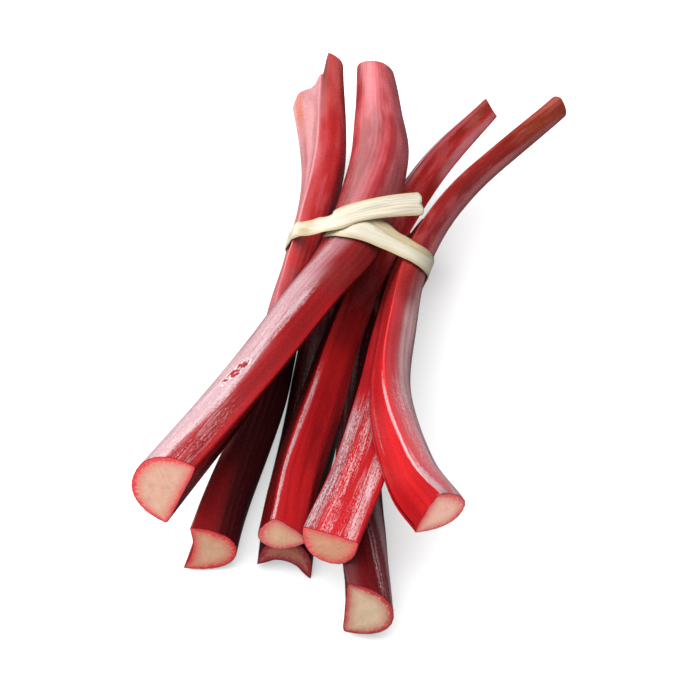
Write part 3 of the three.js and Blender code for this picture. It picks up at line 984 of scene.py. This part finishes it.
def strip_path(settings):
    """The strip's inner face as a grid of steps along it and places across it, the
    direction outward, the steps, the places as shares and in mm, and where it leaves the
    ring. It goes round the bunch, lifts over its own start by its thickness, and eases over
    to the free end, with the bend between them smoothed."""
    angles = np.radians(np.linspace(STRIP_START, STRIP_LEAVES - RAYS_PAST, RAYS))
    reach, middle = bunch_reach(np.linspace(*REACH_DEPTHS), angles)
    spare = REACH_ROWS // 2
    padded = np.concatenate(
        [reach[:, :spare][:, ::-1], reach, reach[:, -spare:][:, ::-1]], 1
    )
    reach = smoothed(padded.T, REACH_ROWS).T + settings.clearance / MM
    ring = reach[PLAIN_SLAB][:, None] * np.stack([np.cos(angles), np.sin(angles)], 1)
    run = run_along(ring)
    leave_at = float(np.interp(-STRIP_LEAVES, -np.degrees(angles), run))
    free_length = free_line()[1][-1]
    steps = np.linspace(0, leave_at + free_length, settings.steps)
    past = steps - leave_at
    places = np.linspace(-1, 1, settings.across_points)
    half = stretched_run(STRIP_WIDTHS, steps, leave_at) * settings.width / MM / 2
    offset = stretched_run(STRIP_OFFSETS, steps, leave_at)
    depth = places[None, :] * half[:, None] + offset[:, None]
    lift = ease(*LIFTS_OVER, past) * (settings.thickness / MM + LIFT_GAP)
    row = np.interp(steps, run, np.arange(len(run)))
    angle = np.interp(steps, run, angles)
    on_ring = ring_rows(reach, middle, angle, row, depth, lift)
    on_tail = free_rows(np.clip(past, -CARRIED_BACK, free_length), depth)
    free = ease(*LEAVES_OVER, past)[:, None, None]
    inner = on_ring * (1 - free) + on_tail * free
    even = inner.copy()
    even[BEND_ROWS // 2: -(BEND_ROWS // 2)] = smoothed(inner, BEND_ROWS)
    bend = hump(past, *BEND)[:, None, None]
    inner = inner * (1 - bend) + even * bend
    out = unit(np.cross(np.gradient(inner, axis=0), np.gradient(inner, axis=1)))
    return inner, out, steps, places, depth, leave_at


def strip_folds(steps, places, across, leave_at):
    """Height of the strip's outer face as a share of half its thickness, and the shade painted
    on it. Both are sums of bells and eased stretches along and across it: wandering fibre
    grooves, a hollow, the crease, a pinch, a knot, slow waves, and painted shade at the edges,
    on one half and at the bend."""
    run = steps[:, None]
    past = run - leave_at
    groove = 2 * math.pi * (across + 0.9 * waver(run, across, 41, 60.0, 30.0)) / FIBRE_PITCH
    fibre = np.cos(groove + 2 * waver(run, across, 42, 45.0, 8.0))
    hollow = hump(across + 1.2 * waver(run, 0 * across, 43, 90.0, 9.0), *HOLLOW_ACROSS)
    hollow = hollow * ease(*HOLLOW_BEGINS, past)
    crease_line = np.interp(steps, CREASE_STEPS, CREASE_DEPTHS)[:, None]
    crease = hump(across, crease_line, CREASE_WIDTH)
    crease = crease * ease(*CREASE_BEGINS, run) * (1 - ease(*CREASE_ENDS, run))
    pinch = hump(across, *PINCH_ACROSS) * hump(past, *PINCH_ALONG)
    knot = hump(run, *KNOT_ALONG) * hump(across, *KNOT_ACROSS)
    height = 1.0 + 0.12 * fibre - 0.42 * hollow - 0.9 * crease - 0.8 * pinch + 0.9 * knot
    height = np.maximum(height + 0.25 * waver(run, across, 44, 26.0, 7.0), -0.6)
    shade = np.abs(places) ** 3 + 0.6 * (crease + pinch) + 0.3 * hollow
    shade = shade + hump(run, *PAINTED_SHADE_ALONG) * ease(*PAINTED_SHADE_ACROSS, places)
    shade = shade + 0.6 * hump(past, *PAINTED_SHADE_BEND)
    return height, shade


def both_sides(outer, inner=None):
    """The columns of a grid from edge to edge, then back between the edges those of the
    inner side's grid, or the same ones again."""
    inner = outer if inner is None else inner
    return np.concatenate([outer, inner[:, -2:0:-1]], 1)


def build_strip(settings, material):
    """The raffia strip: a closed profile carried along its path. The inner side lies on the
    path and the outer one stands out by the thickness times the root of one less the share
    across to the sixth, and by the folds. The ends taper, and the free one has lobes."""
    path, out, steps, places, across, leave_at = strip_path(settings)
    height, shade = strip_folds(steps, places, across, leave_at)
    half = 0.5 * settings.thickness / MM
    rim = np.sqrt(np.clip(1 - np.abs(places) ** 6, 0, 1))
    rim[0] = rim[-1] = 0.0
    tip = steps[-1]
    ends = ease(0, START_TAPER, steps) * (1 - TIP_LOSES * ease(tip - TIP_TAPER, tip, steps))
    outer = half * rim * (1 + height) * ends[:, None] + LEAST_THICKNESS
    outer[:, [0, -1]] = half
    inner = half * (1 - rim) * ends[:, None]
    ring = both_sides(path) + both_sides(outer, inner)[..., None] * both_sides(out)
    lobes = np.abs(np.sin(3 * both_sides(places[None, :])))
    push = LOBES * lobes * ease(tip - LOBES_FADE, tip, steps)[:, None]
    ahead = unit(np.gradient(path.mean(1), axis=0))
    ring = ring + push[..., None] * ahead[:, None]
    rows, around = ring.shape[:2]
    points = np.concatenate([ring.reshape(-1, 3), [ring[0].mean(0), ring[-1].mean(0)]])
    quads = grid_quads(rows, around)[:, ::-1]
    index = np.arange(around)
    triangles = np.concatenate([
        fan(index, rows * around, True),
        fan((rows - 1) * around + index, rows * around + 1, False),
    ])
    grain = np.zeros((len(points), 3))
    grain[: rows * around, 0] = both_sides(across).ravel()
    grain[: rows * around, 1] = np.repeat(steps, around)
    # The painted shade of the strip's folds and turns, read by its material.
    fold = np.ones(len(points))
    fold[: rows * around] = both_sides(shade).ravel()
    made = add_mesh(
        "raffia_strip", points, quads, triangles,
        np.zeros(len(quads) + len(triangles)), [material], {"grain": grain, "fold": fold},
    )
    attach(made, "root")
    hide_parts("tie")


# ---- materials ----------------------------------------------------------

# Screen colours of the skin's finish: its light fibres and faded clouds, its short dashes,
# which are pale scratches and painted glints, the scar's peeled edge, painted as a white
# highlight lighter than other skin, and its raw middle.
LIGHT_FIBRE = (226, 120, 132)
FADED_CLOUD = (250, 150, 156)
GLINT_DASH = (228, 140, 150)
PEELED_HIGHLIGHT, PEELED_HIGHLIGHT_DEPTH = (255, 246, 246), SKIN_DEPTH * 1.15
RAW_SKIN = (176, 22, 32)

# The raffia's brown flecks.
FLECK = (170, 146, 104)

# What the colour beneath is multiplied by in dark streaks of skin, in dull flesh, in the
# flesh's pale bundles, and in the floor's darkest mottle.
DARKER = (0.6, 0.42, 0.5, 1.0)
DULL = (0.8, 0.74, 0.66, 1.0)
BUNDLE = (1.15, 1.2, 1.2, 1.0)
FLOOR_MOTTLE = 0.985


class Value:
    """A shader socket that can be added to, taken from and multiplied."""

    def __init__(self, shader, socket):
        self.shader = shader
        self.socket = socket

    def maths(self, operation, first, second):
        """A Math node of two values."""
        node = self.shader.node(
            "ShaderNodeMath", {"operation": operation}, {0: first, 1: second}
        )
        return Value(self.shader, node.outputs[0])

    def __add__(self, other):
        return self.maths("ADD", self, other)

    def __radd__(self, other):
        return self.maths("ADD", other, self)

    def __sub__(self, other):
        return self.maths("SUBTRACT", self, other)

    def __rsub__(self, other):
        return self.maths("SUBTRACT", other, self)

    def __mul__(self, other):
        return self.maths("MULTIPLY", self, other)

    def __rmul__(self, other):
        return self.maths("MULTIPLY", other, self)


class Shader:
    """A material's node tree, with one method that adds any node."""

    def __init__(self, name):
        self.material = bpy.data.materials.new(name)
        self.material.use_nodes = True
        self.tree = self.material.node_tree
        self.tree.nodes.clear()

    def node(self, kind, settings=None, sockets=None):
        """A node of this type: its settings first, then a value or a link for each socket."""
        made = self.tree.nodes.new(kind)
        for label, value in (settings or {}).items():
            setattr(made, label, value)
        for label, value in (sockets or {}).items():
            socket = made.inputs[label]
            if isinstance(value, Value):
                self.tree.links.new(value.socket, socket)
            else:
                socket.default_value = value
        return made

    def attribute(self, name, output):
        """A named attribute of the mesh."""
        node = self.node("ShaderNodeAttribute", {"attribute_name": name})
        return Value(self, node.outputs[output])

    def stretched(self, vector, scale):
        """A vector multiplied part by part."""
        node = self.node(
            "ShaderNodeVectorMath", {"operation": "MULTIPLY"}, {0: vector, 1: scale}
        )
        return Value(self, node.outputs[0])

    def noise(self, vector, scale, detail, roughness=0.5, distortion=0.0):
        """Noise whose spots are about 1 / scale long in each part of the vector."""
        node = self.node(
            "ShaderNodeTexNoise", {"noise_dimensions": "3D"},
            {
                "Vector": self.stretched(vector, scale), "Scale": 1.0, "Detail": detail,
                "Roughness": roughness, "Distortion": distortion,
            },
        )
        return Value(self, node.outputs["Fac"])

    def eased(self, value, low, high):
        """0 below low and 1 above high, smooth between."""
        node = self.node(
            "ShaderNodeMapRange", {"interpolation_type": "SMOOTHSTEP"},
            {"Value": value, "From Min": low, "From Max": high},
        )
        return Value(self, node.outputs["Result"])

    def mix(self, factor, first, second, blend="MIX"):
        """Two colours mixed by a factor."""
        node = self.node(
            "ShaderNodeMix", {"data_type": "RGBA", "blend_type": blend},
            {0: factor, 6: first, 7: second},
        )
        return Value(self, node.outputs[2])

    def part(self, vector, letter):
        """One part of a vector."""
        node = self.node("ShaderNodeSeparateXYZ", {}, {0: vector})
        return Value(self, node.outputs[letter])

    def bump(self, height, distance, strength):
        """Relief from a height of 0 to 1 that stands this many metres proud."""
        sockets = {"Height": height, "Distance": distance, "Strength": strength}
        return Value(self, self.node("ShaderNodeBump", {}, sockets).outputs[0])

    def surface(self, sockets):
        """The shader's last nodes: a Principled surface with these sockets."""
        shader = self.node("ShaderNodeBsdfPrincipled", {}, sockets)
        self.node("ShaderNodeOutputMaterial", {}, {"Surface": Value(self, shader.outputs[0])})
        return self.material


def screen(colour, depth):
    """A screen colour 0-255 as four linear parts, the first three times the depth."""
    return (*[depth * float(c) for c in linear(colour)], 1.0)


def skin_material(settings):
    """Waxy stalk skin. Over the painted colour lie dark streaks, light fibres and dark
    blotches, then dark and faded clouds in the calm part, silver streaks of painted highlight
    and broken pale frost, which is partly painted highlight, where the mesh says so, and short
    pale dashes that are partly painted glints. The scar has a peeled edge, painted as a white
    highlight, round a raw middle. The gloss is satin, and duller on the frost."""
    g = Shader("rhubarb_skin")
    paint = g.attribute("paint", "Color")
    grain = g.attribute("grain", "Vector")
    frost = g.attribute("frost", "Fac")
    calm = g.attribute("calm", "Fac")
    rough = 1 - calm * 0.7
    pale = screen(settings.frost_and_highlight_colour, SKIN_DEPTH)
    fibres = g.noise(grain, (1.7, 1.7, 0.05), 4.0, 0.6)
    streaks = g.noise(grain, (0.34, 0.34, 0.011), 3.0, 0.55)
    cells = g.noise(grain, (3.0, 3.0, 0.7), 4.0, 0.65, 0.3)
    dashes = g.noise(grain, (3.6, 3.6, 0.9), 2.0, 0.5)
    blotch = g.noise(grain, (0.09, 0.09, 0.03), 2.0)
    darker = g.mix(1.0, paint, DARKER, "MULTIPLY")
    colour = g.mix(g.eased(streaks, 0.5, 0.75) * rough * 0.7, paint, darker)
    lighter = g.mix(0.1, paint, screen(LIGHT_FIBRE, SKIN_DEPTH))
    colour = g.mix(g.eased(fibres, 0.55, 0.8) * rough * 0.55, colour, lighter)
    colour = g.mix(g.eased(blotch, 0.5, 0.7) * 0.3, colour, darker)
    clouds = g.noise(grain, (0.2, 0.2, 0.035), 3.0, 0.55)
    colour = g.mix(g.eased(clouds, 0.48, 0.66) * calm * 0.42, colour, darker)
    faded = g.mix(0.3, paint, screen(FADED_CLOUD, SKIN_DEPTH))
    colour = g.mix((1 - g.eased(clouds, 0.36, 0.5)) * calm * 0.6, colour, faded)
    # Silver streaks: painted highlight where the frost lies.
    silver = g.noise(grain, (1.2, 1.2, 0.035), 4.0, 0.6)
    silver = g.eased(silver, 0.52, 0.64) * g.eased(frost, 0.05, 0.3)
    colour = g.mix(silver * 0.36, colour, pale)
    # Broken pale frost: pale streaks and painted highlights where the stalk tables put them.
    broken = g.eased(frost + (cells - 0.5) * 2.2 + (fibres - 0.5) * 1.5, 0.34, 0.86)
    broken = broken * g.eased(frost, 0.03, 0.3)
    colour = g.mix(broken * 0.85, colour, pale)
    # Short pale dashes: pale scratches and painted glints.
    spark = g.eased(dashes, 0.68, 0.76) * rough
    colour = g.mix(spark * 0.4, colour, screen(GLINT_DASH, SKIN_DEPTH))
    scar = g.attribute("scar", "Fac")
    tatter = g.noise(grain, (0.8, 0.8, 0.42), 3.0, 0.6, 0.6)
    torn = g.eased(scar, 0.0, 0.25) * (scar * 0.9 + (tatter - 0.5) * 3.6)
    peeled = g.eased(torn, 0.22, 0.32)
    raw = g.eased(torn, 0.58, 0.66)
    # The scar's peeled edge is painted as a white highlight, lighter than other skin.
    colour = g.mix(peeled, colour, screen(PEELED_HIGHLIGHT, PEELED_HIGHLIGHT_DEPTH))
    colour = g.mix(raw, colour, screen(RAW_SKIN, SKIN_DEPTH))
    height = (fibres * 0.5 + cells * 0.5 + streaks * 0.6) * rough + peeled - raw * 1.6
    return g.surface({
        "Base Color": colour,
        "Roughness": cells * 0.16 + broken * 0.15 + settings.skin_roughness,
        "IOR": 1.38,
        "Normal": g.bump(height, 0.0003, 0.8),
    })


def flesh_material(settings):
    """Cut flesh: the painted colour in the middle, salmon towards a rose rim, and the skin's
    dark line at the edge. Dull clouds and grit lie over it, and pale bundles in a row
    inside the rounded back's rim and, fainter, over the middle."""
    g = Shader("rhubarb_flesh")
    paint = g.attribute("paint", "Color")
    cut = g.attribute("cut", "Vector")
    inward = g.part(cut, "Z")
    cloud = g.noise(cut, (0.22, 0.22, 0.0), 3.0)
    speck = g.noise(cut, (1.6, 1.6, 0.0), 3.0, 0.6)
    convex = g.attribute("frost", "Fac")
    grit = g.noise(cut, (4.0, 4.0, 0.0), 2.0, 0.6)
    reach = inward + (cloud - 0.5) * 2.4 + (speck - 0.5) * 1.6 - convex * 0.9
    rose = g.attribute("rim", "Color")
    salmon = g.mix(0.45, paint, rose)
    middle = g.mix(g.eased(reach, 1.6, 6.5), salmon, paint)
    dull = g.mix(1.0, middle, DULL, "MULTIPLY")
    middle = g.mix(g.eased(speck, 0.4, 0.75) * 0.5, middle, dull)
    middle = g.mix(g.eased(cloud, 0.45, 0.7) * 0.5, middle, dull)
    dots = g.node(
        "ShaderNodeTexVoronoi", {"voronoi_dimensions": "2D"},
        {"Vector": cut, "Scale": 0.5, "Randomness": 1.0},
    )
    near = Value(g, dots.outputs["Distance"])
    row = g.eased(inward, 1.0, 1.8) * (1 - g.eased(inward, 2.8, 4.2)) * convex
    pale = (1 - g.eased(near, 0.12, 0.42)) * (row * 0.26 + 0.06)
    colour = g.mix(g.eased(reach, 0.3, 2.9), rose, middle)
    colour = g.mix(g.eased(grit, 0.5, 0.7) * 0.35, colour, dull)
    colour = g.mix(pale, colour, g.mix(1.0, paint, BUNDLE, "MULTIPLY"))
    skin_line = screen(settings.skin_line, FLESH_DEPTH)
    colour = g.mix(g.eased(inward, 0.1, 0.5), skin_line, colour)
    height = speck * 0.5 + pale * 0.8 + cloud * 0.3 + grit * 0.2
    return g.surface({
        "Base Color": colour,
        "Roughness": speck * 0.2 + 0.42,
        "IOR": 1.38,
        "Subsurface Weight": 0.06,
        "Subsurface Radius": (0.003, 0.0012, 0.0008),
        "Normal": g.bump(height, 0.00022, 0.7),
    })


def raffia_material(settings):
    """Raffia: cream, tanner in threads, bands and flecks, with painted shade in its folds and
    turns, and a satin shine.
    """
    g = Shader("raffia_fibre")
    grain = g.attribute("grain", "Vector")
    threads = g.noise(grain, (1.5, 0.035, 0.0), 4.0, 0.6)
    bands = g.noise(grain, (0.35, 0.02, 0.0), 3.0)
    flecks = g.noise(grain, (2.2, 0.5, 0.0), 3.0)
    cream = screen(settings.cream, STRIP_DEPTH)
    tan = screen(settings.tan, STRIP_DEPTH)
    fold = g.attribute("fold", "Fac")
    colour = g.mix(g.eased(threads, 0.42, 0.72) * 0.32, cream, tan)
    colour = g.mix(g.eased(bands, 0.5, 0.72) * 0.4, colour, tan)
    colour = g.mix(g.eased(flecks, 0.62, 0.75) * 0.2, colour, screen(FLECK, STRIP_DEPTH))
    # Painted shade in the strip's folds, creases, hollow, edges and turned places, in the tan.
    colour = g.mix(g.eased(fold + (threads - 0.5) * 0.5, 0.1, 0.9) * 0.85, colour, tan)
    height = threads * 0.7 + bands * 0.6
    return g.surface({
        "Base Color": colour,
        "Roughness": threads * 0.15 + 0.36,
        "IOR": 1.45,
        "Subsurface Weight": 0.08,
        "Subsurface Radius": (0.002, 0.0016, 0.001),
        "Normal": g.bump(height, 0.00025, 0.8),
    })


def floor_material(settings):
    """Matt pale board with the faintest mottle, lit a little from below like a light table."""
    g = Shader("floor_board")
    node = g.node("ShaderNodeTexCoord")
    place = Value(g, node.outputs["Object"])
    mottle = g.noise(place, (3.0, 3.0, 3.0), 3.0)
    shade = tuple(settings.floor_colour)
    darker = tuple(part * FLOOR_MOTTLE for part in shade)
    colour = g.mix(mottle * 0.5, (*shade, 1.0), (*darker, 1.0))
    return g.surface({
        "Base Color": colour,
        "Roughness": 0.85,
        "Emission Color": (1.0, 1.0, 1.0, 1.0),
        "Emission Strength": settings.floor_glow,
    })


# ---- stage --------------------------------------------------------------

# What the camera and the lights look at, in m, a little above the origin of the tables.
AIM = np.array([0.0, 0.0, 0.03]) - FOOTPRINT_MIDDLE * MM

# The lights: name, place and size in m, the setting that holds its power, and whether
# glossy surfaces mirror it.
LIGHTS = (
    ("back_left", (-1.0, 1.3, 0.45), (1.6, 0.9), "back_power", True),
    ("left", (-1.5, 0.5, 0.8), (1.6, 1.2), "left_power", False),
    ("above", (-0.4, 0.1, 1.65), (3.0, 3.0), "top_power", False),
    ("front", (-0.5, -1.5, 1.1), (1.2, 1.0), "front_power", False),
)

# How far under the lowest stalks the floor lies, in m.
FLOOR_GAP = 0.0001


def aim_at(thing, place, target):
    """Puts a camera or light at a place and turns it to look at a target: its own -Z ahead,
    and its X level."""
    ahead = unit(np.subtract(target, place))
    right = unit(np.cross(ahead, [0, 0, 1.0]))
    pose = np.eye(4)
    pose[:3] = np.stack([right, np.cross(right, ahead), -ahead, place], 1)
    thing.matrix_world = Matrix(pose.tolist())


def add_floor(settings):
    """A square of pale board under the bunch, which the skins don't mirror."""
    half = settings.floor_size / 2
    corners = [(-half, -half), (half, -half), (half, half), (-half, half)]
    mesh = bpy.data.meshes.new("floor")
    mesh.from_pydata([(x, y, -FLOOR_GAP) for x, y in corners], [], [(0, 1, 2, 3)])
    mesh.materials.append(floor_material(settings))
    floor = added("floor", mesh)
    floor.visible_glossy = False


def add_light(name, place, size, power, mirrored):
    """A rectangular soft light of so many watts that faces the bunch. Glossy surfaces
    mirror it only if mirrored is true."""
    data = bpy.data.lights.new(name, "AREA")
    data.shape = "RECTANGLE"
    data.size, data.size_y = size
    data.energy = power
    light = added(name, data)
    light.visible_glossy = mirrored
    aim_at(light, place, AIM)


def fill_world(scene, strength):
    """Even white light from all round."""
    world = scene.world or bpy.data.worlds.new("world")
    scene.world = world
    world.use_nodes = True
    background = world.node_tree.nodes["Background"]
    background.inputs["Color"].default_value = (1.0, 1.0, 1.0, 1.0)
    background.inputs["Strength"].default_value = strength


def add_camera(settings):
    """The camera, in front of the bunch and above it by its height's angle."""
    data = bpy.data.cameras.new("camera")
    data.lens = settings.lens
    data.sensor_width = 36.0
    data.clip_end = 50.0
    camera = added("camera", data)
    height = settings.camera_height
    away = settings.camera_distance * np.array([0, -math.cos(height), math.sin(height)])
    aim_at(camera, AIM + away, AIM)
    return camera


# ---- settings -----------------------------------------------------------


class RHUBARB_PG_stalks(bpy.types.PropertyGroup):
    """Sizes and colours of the stalks."""

    stations: IntProperty(
        name="Stations", description="Rings of points along a stalk",
        default=290, min=40, max=400,
    )
    ring_points: IntProperty(
        name="Ring points", description="Points round a stalk",
        default=248, min=32, max=400,
    )
    face_rings: IntProperty(
        name="Face rings", description="Even rings of points on a cut face",
        default=26, min=4, max=60,
    )
    rib_pitch: FloatProperty(
        name="Rib pitch", description="Distance between ribs on the back",
        default=0.0026, min=0.001, max=0.01, unit="LENGTH",
    )
    rib_depth: FloatProperty(
        name="Rib depth", description="Depth of the grooves between ribs",
        default=0.00022, min=0.0, max=0.001, unit="LENGTH",
    )
    skin_roughness: FloatProperty(
        name="Skin roughness", description="Least roughness of the skin",
        default=0.2, min=0.0, max=1.0, subtype="FACTOR",
    )
    # The frost's pale colour, which also paints the skin's highlights.
    frost_and_highlight_colour: FloatVectorProperty(
        name="Frost colour", description="Broken pale skin, screen colour 0-255",
        default=(244, 212, 217), size=3, min=0, max=255,
    )
    skin_line: FloatVectorProperty(
        name="Skin line", description="Skin seen edge on, screen colour 0-255",
        default=(112, 8, 22), size=3, min=0, max=255,
    )


class RHUBARB_PG_strip(bpy.types.PropertyGroup):
    """Sizes and colours of the raffia strip."""

    width: FloatProperty(
        name="Width", description="Width of the strip round the bunch",
        default=0.015, min=0.004, max=0.03, unit="LENGTH",
    )
    thickness: FloatProperty(
        name="Thickness", description="Thickness of the strip",
        default=0.0011, min=0.0002, max=0.003, unit="LENGTH",
    )
    clearance: FloatProperty(
        name="Clearance", description="Gap between the strip and the stalks",
        default=0.0002, min=0.0, max=0.002, unit="LENGTH",
    )
    steps: IntProperty(
        name="Steps", description="Rows of points along the strip",
        default=760, min=100, max=1500,
    )
    across_points: IntProperty(
        name="Across points", description="Points across the strip",
        default=49, min=9, max=99,
    )
    cream: FloatVectorProperty(
        name="Cream", description="Colour of the fibres, screen colour 0-255",
        default=(246, 238, 216), size=3, min=0, max=255,
    )
    # The tan also paints the shade in the strip's folds and turns.
    tan: FloatVectorProperty(
        name="Tan", description="Colour of the grooves, screen colour 0-255",
        default=(212, 190, 146), size=3, min=0, max=255,
    )


class RHUBARB_PG_stage(bpy.types.PropertyGroup):
    """The floor, lights and camera."""

    floor_size: FloatProperty(
        name="Floor size", description="Side of the floor",
        default=14.0, min=1, unit="LENGTH",
    )
    floor_colour: FloatVectorProperty(
        name="Floor colour", description="Colour of the floor",
        default=(0.5, 0.5, 0.5), size=3, min=0, max=1, subtype="COLOR",
    )
    floor_glow: FloatProperty(
        name="Floor glow", description="Light that the floor itself gives off",
        default=0.42, min=0,
    )
    camera_height: FloatProperty(
        name="Camera height", description="Angle of the camera above the floor",
        default=math.radians(40.0), min=0, max=math.pi / 2, subtype="ANGLE",
    )
    camera_distance: FloatProperty(
        name="Camera distance", description="Distance from the camera to its target",
        default=0.7, min=0.1, unit="LENGTH",
    )
    lens: FloatProperty(
        name="Lens", description="Focal length on a 36 mm sensor, in mm",
        default=66.343, min=10,
    )
    back_power: FloatProperty(
        name="Back light", description="Power of the tall soft light behind on the left",
        default=8.0, min=0, unit="POWER",
    )
    left_power: FloatProperty(
        name="Left light", description="Power of the soft light on the left",
        default=26.0, min=0, unit="POWER",
    )
    top_power: FloatProperty(
        name="Top light", description="Power of the broad soft light above",
        default=122.0, min=0, unit="POWER",
    )
    front_power: FloatProperty(
        name="Front light", description="Power of the soft light in front",
        default=15.0, min=0, unit="POWER",
    )
    fill: FloatProperty(
        name="Fill", description="Even light from all round", default=0.06, min=0
    )


# ---- operators ----------------------------------------------------------


class RHUBARB_OT_stalks(bpy.types.Operator):
    """Adds the seven stalks in place of the plain ones"""

    bl_idname = "rhubarb.add_stalks"
    bl_label = "Add stalks"

    def execute(self, context):
        settings = context.scene.rhubarb_stalks
        skin = skin_material(settings)
        flesh = flesh_material(settings)
        for name in STALKS:
            build_stalk(name, settings, skin, flesh)
        return {"FINISHED"}


class RHUBARB_OT_strip(bpy.types.Operator):
    """Adds the raffia strip in place of the plain tie"""

    bl_idname = "rhubarb.add_strip"
    bl_label = "Add raffia strip"

    def execute(self, context):
        settings = context.scene.rhubarb_strip
        build_strip(settings, raffia_material(settings))
        return {"FINISHED"}


class RHUBARB_OT_stage(bpy.types.Operator):
    """Adds the pale floor, the soft lights and the camera"""

    bl_idname = "rhubarb.add_stage"
    bl_label = "Add stage"

    def execute(self, context):
        settings = context.scene.rhubarb_stage
        add_floor(settings)
        for name, place, size, power, mirrored in LIGHTS:
            add_light(name, place, size, getattr(settings, power), mirrored)
        fill_world(context.scene, settings.fill)
        context.scene.camera = add_camera(settings)
        context.scene.view_settings.view_transform = "Standard"
        return {"FINISHED"}


class RHUBARB_PT_panel(bpy.types.Panel):
    """Lists the bunch's pieces and their settings"""

    bl_label = "Rhubarb"
    bl_idname = "RHUBARB_PT_panel"
    bl_space_type = "VIEW_3D"
    bl_region_type = "UI"
    bl_category = "Rhubarb"

    def draw(self, context):
        for group in ("stalks", "strip", "stage"):
            settings = getattr(context.scene, "rhubarb_" + group)
            box = self.layout.box()
            box.operator("rhubarb.add_" + group)
            for name in settings.__annotations__:
                box.prop(settings, name)


SETTINGS = {
    "rhubarb_stalks": RHUBARB_PG_stalks,
    "rhubarb_strip": RHUBARB_PG_strip,
    "rhubarb_stage": RHUBARB_PG_stage,
}
CLASSES = (
    *SETTINGS.values(), RHUBARB_OT_stalks, RHUBARB_OT_strip, RHUBARB_OT_stage,
    RHUBARB_PT_panel,
)


def register():
    """Registers the classes and hangs the settings on the scene."""
    for cls in CLASSES:
        bpy.utils.register_class(cls)
    for name, group in SETTINGS.items():
        setattr(bpy.types.Scene, name, PointerProperty(type=group))


def unregister():
    """Undoes register()."""
    for name in SETTINGS:
        delattr(bpy.types.Scene, name)
    for cls in reversed(CLASSES):
        bpy.utils.unregister_class(cls)


def main():
    """Builds everything."""
    register()
    bpy.ops.rhubarb.add_stage()
    bpy.ops.rhubarb.add_stalks()
    bpy.ops.rhubarb.add_strip()
    bpy.context.view_layer.update()


if __name__ == "__main__":
    main()
